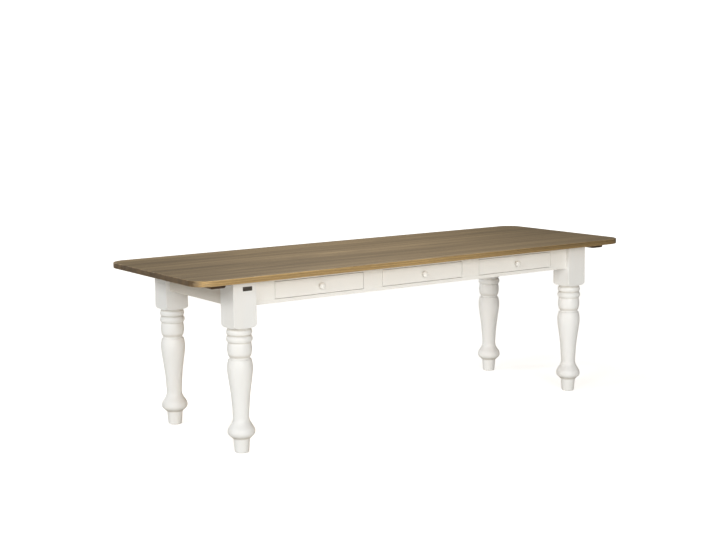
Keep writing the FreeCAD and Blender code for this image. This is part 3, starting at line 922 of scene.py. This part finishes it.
@dataclass(frozen=True, kw_only=True)
class SatinPaint(Finish):
    """Warm white satin paint over wood, with faint brush strokes."""

    slot = "white_paint"
    full: Colour
    thin: Colour = (0.800, 0.775, 0.730, 1)
    # Painted shade: the colour that the paint darkens to in the creases that a piece marks
    hollow: Colour = (0.540, 0.500, 0.430, 1)
    under: Colour = (0.560, 0.450, 0.320, 1)
    thin_drift: Ramp = (0.42, 0.68)
    thin_stroke: Ramp = (0.35, 0.65, 0.4, 1.0)
    thin_share: float = 0.5
    # How strongly the painted shade in the creases shows, by the drift
    hollow_drift: Ramp = (0.30, 0.65, 0.25, 0.6)
    wear: Wear = (0.33, 0.5)
    stroke_roughness: Slope = (0.16, 0.34)
    gloss: float = 0.4
    grain_height: float = 0.5
    relief: Relief = (0.00012, 0.35)

    def draw(self, sheet: Sheet) -> None:
        """Draws the finish, with painted shade where the piece marks its creases.

        Args:
            sheet: The new material.
        """
        stroke, drift, grain = sheet.group(self.groups.film, {"Position": sheet.place})
        thin = sheet.times(sheet.ramp(drift, *self.thin_drift), sheet.ramp(stroke, *self.thin_stroke))
        colour = sheet.lay(self.full, self.thin, thin, self.thin_share)
        # Painted shade: the paint darkens towards the hollow colour where the piece marks creases, more where
        # the drift is high
        crease_shade = sheet.times(sheet.attribute("crease"), sheet.ramp(drift, *self.hollow_drift))
        colour = sheet.mix(crease_shade, colour, self.hollow)
        colour = self.rubbed(sheet, colour, self.under, self.wear)
        sheet.coat({"Base Color": colour, "Specular IOR Level": self.gloss,
                    "Roughness": sheet.sloped(stroke, *self.stroke_roughness)})
        sheet.press(sheet.sloped(grain, self.grain_height, stroke), *self.relief)


@dataclass(frozen=True, kw_only=True)
class BareWood(Finish):
    """Planed pale softwood without a finish."""

    slot = "raw_wood"
    early: Colour = (0.690, 0.520, 0.330, 1)
    late: Colour = (0.500, 0.320, 0.165, 1)
    pore: Colour = (0.360, 0.230, 0.120, 1)
    ring_width: float = 0.0048
    seed: float = 4.0
    late_in_ring: float = 0.65
    late_in_fibre: float = 0.25
    pore_share: float = 0.3
    streak_tones: Ramp = (0.3, 0.7, 0.9, 1.08)
    fibre_roughness: Slope = (0.2, 0.58)
    gloss: float = 0.3
    ring_height: float = 0.6
    relief: Relief = (0.0002, 0.5)

    def timber(self, sheet: Sheet) -> tuple[Socket, Socket, Socket]:
        """Draws the wood itself.

        Args:
            sheet: The material.

        Returns:
            Its colour, rings and fibres.
        """
        inputs = {"Position": sheet.place, "Seed": self.seed, "Ring Width": self.ring_width}
        ring, fibre, pore, streak = sheet.group(self.groups.figure, inputs)
        depth = sheet.sloped(ring, self.late_in_ring, sheet.times(fibre, self.late_in_fibre))
        colour = sheet.lay(sheet.mix(depth, self.early, self.late), self.pore, pore, self.pore_share)
        return sheet.toned(colour, sheet.ramp(streak, *self.streak_tones)), ring, fibre

    def draw(self, sheet: Sheet) -> None:
        """Draws the finish.

        Args:
            sheet: The new material.
        """
        colour, ring, fibre = self.timber(sheet)
        sheet.coat({"Base Color": colour, "Specular IOR Level": self.gloss,
                    "Roughness": sheet.sloped(fibre, *self.fibre_roughness)})
        sheet.press(sheet.sloped(ring, self.ring_height, fibre), *self.relief)


@dataclass(frozen=True, kw_only=True)
class FrontPaint(SatinPaint):
    """Satin paint on the face and edges of a drawer front, and bare wood on its back."""

    wood: BareWood
    back_turn: Ramp = (0.5, 0.9)

    def draw(self, sheet: Sheet) -> None:
        """Draws the paint, then bares the back.

        Args:
            sheet: The new material.
        """
        super().draw(sheet)
        painted = sheet.shader.inputs["Base Color"].links[0].from_socket
        timber = self.wood.timber(sheet)[0]
        back = sheet.ramp(sheet.facing()["Y"], *self.back_turn)
        sheet.coat({"Base Color": sheet.mix(back, painted, timber)})


@dataclass(frozen=True, kw_only=True)
class ZincSteel(Finish):
    """Zinc plated steel with a mottled grey bloom."""

    slot = "zinc_steel"
    bright: Colour = (0.640, 0.630, 0.600, 1)
    bloom: Colour = (0.430, 0.430, 0.410, 1)
    mottle: Waves = ((420.0, 420.0, 420.0), 4.0)
    cloud_limits: Ramp = (0.35, 0.65)
    cloud_roughness: Slope = (0.25, 0.28)
    relief: Relief = (0.00005, 0.3)

    def draw(self, sheet: Sheet) -> None:
        """Draws the finish.

        Args:
            sheet: The new material.
        """
        mottle = sheet.noise(sheet.place, *self.mottle)
        cloud = sheet.ramp(mottle, *self.cloud_limits)
        sheet.coat({"Base Color": sheet.mix(cloud, self.bright, self.bloom), "Metallic": 1.0,
                    "Roughness": sheet.sloped(cloud, *self.cloud_roughness)})
        sheet.press(mottle, *self.relief)


@dataclass(frozen=True, kw_only=True)
class DarkBronze(Finish):
    """Dark bronze lacquer, brushed along X and rubbed a little."""

    slot = "dark_bronze"
    lacquer: Colour = (0.040, 0.034, 0.029, 1)
    metal: Colour = (0.150, 0.115, 0.080, 1)
    brushing: Waves = ((60.0, 3200.0, 3200.0), 3.0)
    cloud: Waves = ((130.0, 130.0, 130.0), 3.0)
    cloud_limits: Ramp = (0.45, 0.7)
    line_limits: Ramp = (0.4, 0.65)
    metal_share: float = 0.8
    line_roughness: Slope = (0.3, 0.25)
    relief: Relief = (0.00004, 0.4)

    def draw(self, sheet: Sheet) -> None:
        """Draws the finish.

        Args:
            sheet: The new material.
        """
        lines = sheet.noise(sheet.place, *self.brushing)
        cloud = sheet.ramp(sheet.noise(sheet.place, *self.cloud), *self.cloud_limits)
        bared = sheet.times(cloud, sheet.ramp(lines, *self.line_limits))
        sheet.coat({"Base Color": sheet.mix(bared, self.lacquer, self.metal),
                    "Metallic": sheet.times(bared, self.metal_share),
                    "Roughness": sheet.sloped(lines, *self.line_roughness)})
        sheet.press(lines, *self.relief)


@dataclass(frozen=True)
class Finishes:
    """Every finish on the table."""

    boards: OiledWood
    battens: OiledWood
    leg_paint: SatinPaint
    frame_paint: SatinPaint
    end_paint: SatinPaint
    front_paint: FrontPaint
    bare: BareWood
    steel: ZincSteel
    bronze: DarkBronze

    @classmethod
    def mixed(cls) -> "Finishes":
        """Makes every finish on one set of shared groups.

        Returns:
            The finishes.
        """
        groups = Groups()
        cream = (0.850, 0.839, 0.804, 1)
        bare = BareWood(groups=groups)
        return cls(
            boards=OiledWood(groups=groups, label="boards", early=(0.520, 0.345, 0.140, 1),
                             late=(0.320, 0.200, 0.078, 1), top_sheen_and_patina=(0.135, 0.108, 0.075, 1)),
            # Painted shade: the battens' colours are darkened to stand in for the shade under the top's
            # overhang
            battens=OiledWood(groups=groups, label="battens", early=(0.110, 0.070, 0.034, 1),
                              late=(0.062, 0.038, 0.018, 1), top_sheen_and_patina=(0.090, 0.060, 0.032, 1)),
            leg_paint=SatinPaint(groups=groups, label="legs", full=(0.797, 0.799, 0.788, 1)),
            frame_paint=SatinPaint(groups=groups, label="frame", full=cream),
            # Painted shade: the end aprons' cream is darker, standing in for the shade under the top's
            # overhang at each end
            end_paint=SatinPaint(groups=groups, label="ends", full=(0.720, 0.676, 0.610, 1)),
            front_paint=FrontPaint(groups=groups, label="fronts", full=cream, wood=bare),
            bare=bare, steel=ZincSteel(groups=groups), bronze=DarkBronze(groups=groups),
        )


# Sub-assemblies


@dataclass
class Assembly(ABC):
    """A group of pieces that is built and finished together."""

    finishes: Finishes

    @abstractmethod
    def build(self) -> list[Piece]:
        """Builds and dresses the pieces.

        Returns:
            The pieces, CAD nodes among them.
        """

    def dress(self, piece: Piece, finish: Finish, axis: Axis, node: str) -> Piece:
        """Finishes a new piece and sets it in the place of a CAD node.

        Args:
            piece: The new piece.
            finish: Its finish.
            axis: The direction of its grain or brush strokes.
            node: The CAD node that it stands for.

        Returns:
            The same piece.
        """
        piece.data.materials.clear()
        piece.data.materials.append(finish.material(axis))
        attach(piece, frame["nodes"][node]["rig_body"])
        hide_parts(node)
        return piece

    def dress_all(self, pieces: list[Piece], finish: Finish, axis: Axis, nodes: Sequence[str]) -> list[Piece]:
        """Finishes pieces that are alike, each in the place of its own CAD node."""
        return [self.dress(piece, finish, axis, node) for piece, node in zip(pieces, nodes)]

    def refinish(self, node: str, finish: Finish, axis: Axis) -> Piece:
        """Gives a CAD node whose shape is right a better material.

        Args:
            node: The node's name.
            finish: Its finish.
            axis: The direction of its grain or brush strokes.

        Returns:
            The node's object.
        """
        piece = frame["nodes"][node]
        for slot in piece.material_slots:
            slot.material = finish.material(axis)
        return piece


BOARD_SEED = 11


@dataclass
class BoardTop(Assembly):
    """Six boards, edge to edge, with round corners and eased edges, on two cross battens."""

    count: int = 6
    corner_radius: float = 0.080
    corner_steps: int = 18
    edge_round: float = 0.003
    edge_steps: int = 4
    seam_ease: float = 0.0006
    level_play: float = 0.00012
    end_play: float = 0.0003
    # Painted shade on the front board, from its left end to its right end; below zero is no change
    painted_edge_shades: tuple[float, float] = (-0.11, 0.63)
    seed_step: float = 1.7
    chance: random.Random = field(default_factory=lambda: random.Random(BOARD_SEED))

    def build(self) -> list[Piece]:
        """Shapes the front board and one inner board, copies them, and finishes the battens.

        Returns:
            The boards and battens.
        """
        front, inner = self.board(1), self.board(2)
        numbers = range(2, self.count)
        names = [f"oiled_board_{number}" for number in numbers]
        places = [self.place(number) for number in numbers]
        boards = [front, *repeated(inner, names, places)]
        boards.append(copied(front, f"oiled_board_{self.count}", Vector(), math.pi))
        for number, board in enumerate(boards, 1):
            sideways = self.chance.uniform(-self.end_play, self.end_play)
            move(board, Vector((sideways, 0, self.chance.uniform(0, self.level_play))))
            self.grow_grain(board, number)
            self.dress(board, self.finishes.boards, Axis.X, f"top_board_{number}")
        battens = [self.refinish(node, self.finishes.battens, Axis.Y)
                   for node in ("end_batten_left", "end_batten_right")]
        return boards + battens

    def place(self, number: int) -> Vector:
        """The middle of a board."""
        low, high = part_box(f"top_board_{number}")
        return (low + high) / 2

    def board(self, number: int) -> Piece:
        """Shapes one board, a little short and thin to leave room for its play.

        Args:
            number: The board's number, from the drawer side; the first has the round corners.

        Returns:
            The board, smooth and marked for its finish.
        """
        low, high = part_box(f"top_board_{number}")
        is_front = number == 1
        seams = [high.y] if is_front else [low.y, high.y]
        low.x += self.end_play
        high.x -= self.end_play
        high.z -= self.level_play
        board = new_block(f"oiled_board_{number}", low, high)

        def on_seam(edge: Edge) -> bool:
            """Whether an edge lies where two boards meet."""
            return any(abs(middle_of(edge).y - seam) < NEAR for seam in seams)

        if is_front:
            round_edges(board, lambda edge: runs_along(edge, Axis.Z) and not on_seam(edge),
                        self.corner_radius, self.corner_steps)
        round_edges(board, lambda edge: is_rim(edge) and not on_seam(edge), self.edge_round, self.edge_steps)
        round_edges(board, lambda edge: runs_along(edge, Axis.X) and on_seam(edge), self.seam_ease, 1)
        smooth(board)
        mark_arrises(board)
        at_seam = [min(abs(face.center.y - seam) for seam in seams) < self.seam_ease
                   for face in board.data.polygons]
        set_values(board, "seam", Domain.FACE, np.array(at_seam))
        return board

    def grow_grain(self, board: Piece, number: int) -> None:
        """Gives a board a figure of its own, about its middle, and gives the front edge painted shade that
        deepens towards its right end.

        Args:
            board: The board.
            number: The board's number.
        """
        count = len(board.data.vertices)
        set_values(board, "grain_seed", Domain.POINT, np.full(count, self.seed_step * number))
        origin = board.data.attributes.new("grain_origin", "FLOAT_VECTOR", "POINT")
        origin.data.foreach_set("vector", np.tile(np.array(self.place(number), np.float32), count))
        if number == 1:
            along = points_of(board)[:, 0]
            share = (along - along.min()) / np.ptp(along)
            set_values(board, "edge_fade", Domain.POINT, np.interp(share, (0, 1), self.painted_edge_shades))


@dataclass
class TurnedLegs(Assembly):
    """Four legs, each a square block over a turned vase and ball.

    A form's shares are pairs: how far up it a point lies, and how far out from the neck to its widest.
    """

    block: float = 0.110
    block_height: float = 0.198
    block_round: float = 0.002
    block_round_steps: int = 4
    shoulder_height: float = 0.020
    shoulder_land: float = 0.008
    shoulder_steps: int = 12
    toe_radius: float = 0.0305
    toe_top: float = 0.0355
    toe_height: float = 0.063
    toe_rows: int = 14
    toe_round: float = 0.006
    toe_round_steps: int = 5
    step_radius: float = 0.0395
    step_height: float = 0.0025
    ball_radius: float = 0.0585
    ball_height: float = 0.0775
    neck_radius: float = 0.035
    vase_radius: float = 0.055
    cove_radius: float = 0.0435
    cove_height: float = 0.015
    cup_radius: float = 0.0525
    cup_foot: float = 0.0475
    cup_height: float = 0.058
    bead_radius: float = 0.056
    bead_height: float = 0.030
    bead_steps: int = 14
    crease_radius: float = 0.0485
    crease_height: float = 0.003
    ring_radius: float = 0.0545
    ring_edge: float = 0.0515
    ring_height: float = 0.022
    collar_radius: float = 0.0495
    collar_height: float = 0.009
    ball_shares: tuple = ((0.0, 0.25), (0.05, 0.45), (0.11, 0.67), (0.175, 0.86), (0.25, 0.97),
                          (0.325, 1.0), (0.415, 0.965), (0.51, 0.87), (0.605, 0.70), (0.715, 0.46),
                          (0.82, 0.25), (0.915, 0.10))
    vase_shares: tuple = ((0.0, 0.03), (0.08, 0.0), (0.26, 0.14), (0.42, 0.33), (0.60, 0.64),
                          (0.74, 0.88), (0.85, 1.0), (0.93, 0.92), (1.0, 0.72))
    cove_deepest_share: float = 0.6
    cup_widest_share: float = 0.46
    faces_round: int = 96
    # Painted shade: where the paint darkens under the ball, how far it reaches about each crease, and how far
    # under the cup
    ball_shade_shares: tuple[float, float] = (0.03, 0.07)
    crease_reach: float = 0.0025
    cup_shade_reach: float = 0.007

    CORNERS = ("front_left", "front_right", "back_left", "back_right")

    def axis_of(self, corner: str) -> Vector:
        """Gives the foot of a leg's axis.

        Args:
            corner: The leg's corner.

        Returns:
            The point on the floor.
        """
        low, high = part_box(f"leg_{corner}")
        middle = (low + high) / 2
        return Vector((middle.x, middle.y, 0))

    @property
    def top(self) -> float:
        """The height of the top of the blocks."""
        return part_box("leg_front_left")[1].z

    @property
    def block_bottom(self) -> float:
        """The height at which the block begins."""
        return self.top - self.block_height

    @property
    def ball_start(self) -> float:
        """The height at which the ball begins."""
        return self.toe_height + self.step_height

    @property
    def cup_start(self) -> float:
        """The height at which the cup begins."""
        rings = self.collar_height + self.ring_height + self.crease_height + self.bead_height
        return self.block_bottom - rings - self.cup_height

    def build(self) -> list[Piece]:
        """Shapes one leg and copies it to the other corners.

        Returns:
            The four legs.
        """
        feet = [self.axis_of(corner) for corner in self.CORNERS]
        legs = repeated(self.leg(feet[0]), [f"turned_leg_{corner}" for corner in self.CORNERS], feet)
        nodes = [f"leg_{corner}" for corner in self.CORNERS]
        return self.dress_all(legs, self.finishes.leg_paint, Axis.Z, nodes)

    def outline(self) -> Profile:
        """Draws the turned part from the floor to the block.

        Returns:
            The outline.
        """
        ball = self.ball_start
        vase = ball + self.ball_height
        collar = self.block_bottom - self.collar_height
        ring = collar - self.ring_height
        crease = ring - self.crease_height
        bead = crease - self.bead_height
        cup = self.cup_start
        cove = cup - self.cove_height

        def swell(start: float, height: float, widest: float, shares: tuple) -> list[Vector]:
            """The knots of a round form between two heights."""
            return [Vector((self.neck_radius + (widest - self.neck_radius) * out, start + height * up))
                    for up, out in shares]

        knots = swell(ball, self.ball_height, self.ball_radius, self.ball_shares)
        knots += swell(vase, cove - vase, self.vase_radius, self.vase_shares)
        outline = Profile(0, 0).line_to(self.toe_radius - self.toe_round, 0)
        outline.quarter_to(self.toe_radius, self.toe_round, self.toe_round_steps, Start.LEVEL)
        outline.line_to(self.toe_top, self.toe_height, self.toe_rows)
        outline.line_to(self.step_radius, self.toe_height)
        outline.line_to(*knots[0]).curve_through(knots[1:])
        outline.arc_to((self.cove_radius, cove + self.cove_height * self.cove_deepest_share),
                       (self.cup_foot, cup))
        outline.arc_to((self.cup_radius, cup + self.cup_height * self.cup_widest_share),
                       (self.crease_radius, bead), self.bead_steps)
        outline.arc_to((self.bead_radius, bead + self.bead_height / 2),
                       (self.crease_radius, crease), self.bead_steps)
        outline.line_to(self.crease_radius, ring).line_to(self.ring_edge, ring)
        outline.arc_to((self.ring_radius, ring + self.ring_height / 2), (self.ring_edge, collar))
        outline.line_to(self.collar_radius, collar).line_to(self.collar_radius, self.block_bottom)
        return outline

    def leg(self, foot: Vector) -> Piece:
        """Shapes a whole leg.

        Args:
            foot: The foot of its axis.

        Returns:
            The leg, smooth, with its painted shade and its worn edges marked for its finish.
        """
        half = self.block / 2
        outline = self.outline()
        shades = self.shades(outline)
        into_block = self.block_bottom + self.collar_height
        outline.line_to(self.collar_radius, into_block).line_to(0, into_block)
        stem = turn_on_lathe("stem", outline, foot, self.faces_round)
        low, high = Vector((-half, -half, self.block_bottom)), Vector((half, half, self.top))
        leg = new_block("leg", foot + low, foot + high)
        round_edges(leg, lambda edge: runs_along(edge, Axis.Z), self.block_round, self.block_round_steps)
        join_solids(leg, self.shoulders(foot), Join.COMMON)
        join_solids(leg, stem, Join.FUSE)
        smooth(leg)
        points = points_of(leg)
        # Painted shade: the paint darkens in rings about these heights, on the turned part and under the
        # block
        depth = [np.exp(-((points[:, 2] - height) / reach) ** 2) for height, reach in shades]
        in_stem = np.hypot(points[:, 0] - foot.x, points[:, 1] - foot.y) < self.collar_radius + NEAR
        below = points[:, 2] < self.block_bottom - NEAR
        set_values(leg, "crease", Domain.POINT, np.max(depth, axis=0) * (in_stem | below))
        mark_arrises(leg, self.block_bottom + self.shoulder_height)
        return leg

    def shades(self, outline: Profile) -> list[tuple[float, float]]:
        """Finds where the paint gets painted shade: in the hollows, under the ball and at the foot of the
        cup.

        Args:
            outline: The turned part's outline.

        Returns:
            The height and the reach of each ring of painted shade.
        """
        heights = outline.hollow_heights()
        heights += [self.ball_start + self.ball_height * up for up in self.ball_shade_shares]
        heights.append(self.block_bottom)
        return [(height, self.crease_reach) for height in heights] + [(self.cup_start, self.cup_shade_reach)]

    def shoulders(self, foot: Vector) -> Piece:
        """Turns the round form that the block's lower corners are cut to.

        Args:
            foot: The foot of the leg's axis.

        Returns:
            The form, which is wider than the block above its shoulders.
        """
        inner = self.block / 2 + self.shoulder_land
        outer = self.block / 2 * math.sqrt(2)
        reach = math.sqrt(0.5)
        bottom, shoulder = self.block_bottom, self.block_bottom + self.shoulder_height
        over = self.top + self.shoulder_height
        outline = Profile(0, bottom).line_to(inner, bottom)
        outline.arc_to((inner + (outer - inner) * reach, shoulder - self.shoulder_height * reach),
                       (outer, shoulder), self.shoulder_steps)
        outline.line_to(outer, over).line_to(0, over)
        return turn_on_lathe("shoulders", outline, foot, self.faces_round * 2)


@dataclass
class ApronFrame(Assembly):
    """The painted frame between the legs: front rails and stiles, and the back and end aprons."""

    block: float = 0.110
    stile_count: int = 4
    free_edge: float = 0.0012
    free_steps: int = 3
    joint_edge: float = 0.0004
    joint_steps: int = 2

    def build(self) -> list[Piece]:
        """Builds every rail, stile and apron.

        Returns:
            The frame's pieces.
        """
        stiles = [f"front_stile_{number}" for number in range(1, self.stile_count + 1)]
        made = []
        for node in ("front_top_rail", "front_bottom_rail", "back_apron"):
            made += self.row([node], Axis.X, self.finishes.frame_paint)
        made += self.row(stiles, Axis.Z, self.finishes.frame_paint)
        # The end aprons get the darker cream of painted shade
        made += self.row(["end_apron_left", "end_apron_right"], Axis.Y, self.finishes.end_paint)
        return made

    def row(self, nodes: list[str], axis: Axis, finish: Finish) -> list[Piece]:
        """Shapes one member and copies it to the places of its like.

        Args:
            nodes: The members' CAD nodes, all of one size.
            axis: The direction that they run in.
            finish: Their finish.

        Returns:
            The finished members.
        """
        places = [self.shown_box(node, axis)[0] for node in nodes]
        pieces = repeated(self.member(nodes[0], axis), [f"painted_{node}" for node in nodes], places)
        return self.dress_all(pieces, finish, axis, nodes)

    def shown_box(self, node: str, axis: Axis) -> tuple[Vector, Vector]:
        """The box of a member between its shoulders, without the tenons at its ends.

        Args:
            node: The member's CAD node.
            axis: The direction that it runs in.

        Returns:
            The lowest and highest corner.
        """
        low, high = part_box(node)
        if axis is Axis.Z:
            low.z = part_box("front_bottom_rail")[1].z
            high.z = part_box("front_top_rail")[0].z
            return low, high
        leg_low, leg_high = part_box("leg_front_left")
        inner = (leg_low + leg_high) / 2 + Vector((self.block, self.block, 0)) / 2
        low[axis.value] = inner[axis.value]
        high[axis.value] = -inner[axis.value]
        return low, high

    def member(self, node: str, axis: Axis) -> Piece:
        """Shapes one rail, stile or apron with eased edges.

        Args:
            node: The member's CAD node.
            axis: The direction that it runs in.

        Returns:
            The member, smooth and marked for its finish.
        """
        low, high = self.shown_box(node, axis)
        piece = new_block(f"painted_{node}", low, high)
        has_free_edge = axis is not Axis.Z and not node.endswith("top_rail")

        def is_free(edge: Edge) -> bool:
            """Whether an edge is a lower one that a knee or hand meets."""
            return has_free_edge and runs_along(edge, axis) and abs(middle_of(edge).z - low.z) < NEAR

        def is_joint(edge: Edge) -> bool:
            """Whether an edge lies against another piece."""
            upper = runs_along(edge, axis) and middle_of(edge).z > low.z + 2 * self.free_edge
            return upper or axis is Axis.Z and is_rim(edge)

        round_edges(piece, is_free, self.free_edge, self.free_steps)
        round_edges(piece, is_joint, self.joint_edge, self.joint_steps)
        smooth(piece)
        mark_arrises(piece)
        return piece


@dataclass
class Drawers(Assembly):
    """Three drawers with painted fronts and knobs, bare boxes, and what carries them."""

    names: tuple[str, ...] = ("left", "middle", "right")
    knob_radius: float = 0.014
    knob_reach: float = 0.027
    head_height: float = 0.017
    head_steps: tuple[int, int] = (8, 14)
    base_radius: float = 0.009
    base_height: float = 0.003
    waist_radius: float = 0.006
    spigot_radius: float = 0.005
    spigot_length: float = 0.014
    faces_round: int = 64

    def build(self) -> list[Piece]:
        """Finishes every piece of the drawers and of what carries them, and turns the knobs.

        Returns:
            The pieces.
        """
        bare = self.finishes.bare
        dressing = {
            "front": (self.finishes.front_paint, Axis.X), "back": (bare, Axis.X), "bottom": (bare, Axis.X),
            "left_side": (bare, Axis.Y), "right_side": (bare, Axis.Y),
            "left_runner": (bare, Axis.Y), "right_runner": (bare, Axis.Y), "kicker": (bare, Axis.Y),
        }
        pieces = [self.refinish(f"{name}_drawer_{part}", finish, axis)
                  for name in self.names for part, (finish, axis) in dressing.items()]
        return pieces + self.knobs()

    def knobs(self) -> list[Piece]:
        """Turns one knob and copies it to the other drawers.

        Returns:
            The finished knobs.
        """
        seats = [self.seat(name) for name in self.names]
        knobs = repeated(self.knob(seats[0]), [f"turned_knob_{name}" for name in self.names], seats)
        nodes = [f"{name}_drawer_knob" for name in self.names]
        return self.dress_all(knobs, self.finishes.frame_paint, Axis.Y, nodes)

    def seat(self, name: str) -> Vector:
        """Gives the middle of a knob's base, on the face of its drawer.

        Args:
            name: The drawer's name.

        Returns:
            The point.
        """
        low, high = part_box(f"{name}_drawer_knob")
        middle = (low + high) / 2
        return Vector((middle.x, low.y + self.knob_reach, middle.z))

    def knob(self, seat: Vector) -> Piece:
        """Turns a knob with its spigot, base, waist and round head.

        Args:
            seat: The middle of its base.

        Returns:
            The knob, smooth.
        """
        head = self.knob_reach - self.head_height
        lower_steps, upper_steps = self.head_steps
        outline = Profile(0, -self.spigot_length).line_to(self.spigot_radius, -self.spigot_length)
        outline.line_to(self.spigot_radius, 0).line_to(self.base_radius, 0)
        outline.line_to(self.base_radius, self.base_height)
        outline.arc_to((self.waist_radius, (self.base_height + head) / 2), (self.base_radius, head))
        outline.quarter_to(self.knob_radius, head + self.head_height / 2, lower_steps, Start.LEVEL)
        outline.quarter_to(0, self.knob_reach, upper_steps, Start.UPRIGHT)
        knob = turn_on_lathe("knob", outline, seat, self.faces_round, FORWARDS)
        smooth(knob)
        return knob


@dataclass
class Fittings(Assembly):
    """The wooden buttons and screws under the top, and the blank plate on its pins."""

    def build(self) -> list[Piece]:
        """Finishes the fittings.

        Returns:
            The pieces.
        """
        dressing = {
            "top_buttons": self.finishes.bare, "top_screws": self.finishes.steel,
            "batten_screws": self.finishes.steel, "blank_plate": self.finishes.bronze,
            "plate_pins": self.finishes.bronze,
        }
        return [self.refinish(node, finish, Axis.X) for node, finish in dressing.items()]


# Studio

WHITE: Colour = (1, 1, 1, 1)
NEUTRAL: Triple = (1.0, 1.0, 1.0)
COOL: Triple = (0.97, 1.0, 1.03)


@dataclass(frozen=True)
class Lamp:
    """A soft square lamp that looks at the table from a bearing and a rise, both in degrees.

    A bearing of 0 is straight ahead of the drawers, and 90 is off the left end.
    """

    name: str
    bearing: float
    rise: float
    size: tuple[float, float]
    power: float
    distance: float
    aim: Triple = (-0.2, 0, 0.5)
    tint: Triple = NEUTRAL

    def hang(self) -> None:
        """Hangs the lamp, which the camera doesn't see."""
        light = bpy.data.lights.new(self.name, "AREA")
        light.shape = "RECTANGLE"
        light.size, light.size_y = self.size
        light.energy = self.power
        light.color = self.tint
        lamp = bpy.data.objects.new(self.name, light)
        lamp.visible_camera = False
        bpy.context.scene.collection.objects.link(lamp)
        turn, up = math.radians(self.bearing), math.radians(self.rise)
        way = Vector((-math.sin(turn) * math.cos(up), -math.cos(turn) * math.cos(up), math.sin(up)))
        lamp.location = Vector(self.aim) + way * self.distance
        lamp.rotation_euler = (-way).to_track_quat("-Z", "Y").to_euler()


@dataclass(frozen=True)
class Studio:
    """A pale floor and soft light from all round, with the largest lamps ahead and at the left."""

    floor_size: float = 60.0
    floor_colour: Colour = (0.80, 0.78, 0.735, 1)
    floor_mottle: Waves = ((0.7, 0.7, 0.7), 3.0)
    floor_shade: float = 0.985
    floor_roughness: float = 0.9
    floor_gloss: float = 0.1
    floor_glow: Ramp = (3.0, 9.0, 0.70, 1.15)
    sky: float = 0.19
    sky_colour: Colour = (1.0, 0.93, 0.80, 1)
    backdrop: float = 1.15
    lamps: tuple[Lamp, ...] = (
        Lamp("key", 62, 22, (3.6, 3.6), 505, 14.0, tint=COOL),
        Lamp("front", 18, 14, (5.0, 5.0), 735, 12.0),
        Lamp("side", 112, 24, (3.2, 3.2), 440, 14.0, tint=COOL),
        Lamp("low", 125, 5, (4.0, 1.0), 4, 8.0),
        Lamp("over", 0, 89, (1.2, 1.2), 31, 1.9, aim=(-0.05, 0, 0.5)),
        Lamp("back", 168, 9, (3.0, 1.5), 110, 9.0),
        Lamp("under", 90, 0, (0.5, 0.3), 4.4, 0.65, aim=(0, 0, 0.33), tint=COOL),
    )

    def build(self) -> None:
        """Lays the floor and lights it."""
        bpy.context.scene.view_settings.view_transform = "Standard"
        self.lay_floor()
        self.light_sky()
        for lamp in self.lamps:
            lamp.hang()

    def lay_floor(self) -> None:
        """Lays the floor, with a faint mottle, which looks lit to the camera alone."""
        clear_selection()
        bpy.ops.mesh.primitive_plane_add(size=self.floor_size)
        floor = renamed(bpy.context.active_object, "studio_floor")
        sheet = Sheet("studio_floor", GRAIN_TURNS[Axis.X])
        shaded = tuple(self.floor_shade * part for part in self.floor_colour)
        colour = sheet.mix(sheet.noise(sheet.place, *self.floor_mottle), self.floor_colour, shaded)
        away = sheet.node("ShaderNodeVectorMath", {0: sheet.place}, operation="LENGTH").outputs["Value"]
        seen = sheet.node("ShaderNodeLightPath").outputs["Is Camera Ray"]
        sheet.coat({"Base Color": colour, "Roughness": self.floor_roughness,
                    "Specular IOR Level": self.floor_gloss, "Emission Color": WHITE,
                    "Emission Strength": sheet.times(seen, sheet.ramp(away, *self.floor_glow))})
        floor.data.materials.append(sheet.material)

    def light_sky(self) -> None:
        """Lights the room evenly, and shows white beyond the floor."""
        world = bpy.data.worlds.new("studio")
        bpy.context.scene.world = world
        world.use_nodes = True
        graph = Graph(world.node_tree)
        seen = graph.node("ShaderNodeLightPath").outputs["Is Camera Ray"]
        graph.feed(world.node_tree.nodes["Background"], {
            "Color": graph.mix(seen, self.sky_colour, WHITE),
            "Strength": graph.sloped(seen, self.backdrop - self.sky, self.sky),
        })


@dataclass(frozen=True)
class PhotoCamera:
    """The camera at the photograph's place."""

    place: Triple = (-3.6615, -5.0381, 1.5178)
    yaw: float = -0.6122
    pitch: float = -0.1367
    roll: float = -0.0107
    focal_pixels: float = 1324.69
    picture_width: int = 716
    sensor: float = 36.0

    def build(self) -> None:
        """Sets the camera up as the scene's own."""
        data = bpy.data.cameras.new("photo_camera")
        data.sensor_width = self.sensor
        data.lens = self.focal_pixels / self.picture_width * self.sensor
        camera = bpy.data.objects.new("photo_camera", data)
        bpy.context.scene.collection.objects.link(camera)
        ahead = Vector((-math.sin(self.yaw) * math.cos(self.pitch), math.cos(self.yaw) * math.cos(self.pitch),
                        math.sin(self.pitch)))
        level = Vector((math.cos(self.yaw), math.sin(self.yaw), 0))
        upright = level.cross(ahead)
        right = level * math.cos(self.roll) + upright * math.sin(self.roll)
        up = upright * math.cos(self.roll) - level * math.sin(self.roll)
        turn = Matrix((right, up, -ahead)).transposed().to_4x4()
        camera.matrix_world = Matrix.Translation(self.place) @ turn
        bpy.context.scene.camera = camera


def main() -> None:
    """Builds the table, the studio and the camera."""
    logging.basicConfig(level=logging.INFO, format="%(message)s")
    finishes = Finishes.mixed()
    for kind in (BoardTop, TurnedLegs, ApronFrame, Drawers, Fittings):
        for piece in kind(finishes).build():
            LOG.info("%s: %s, %d faces", kind.__name__, piece.name, len(piece.data.polygons))
    Studio().build()
    PhotoCamera().build()


if __name__ == "__main__":
    main()
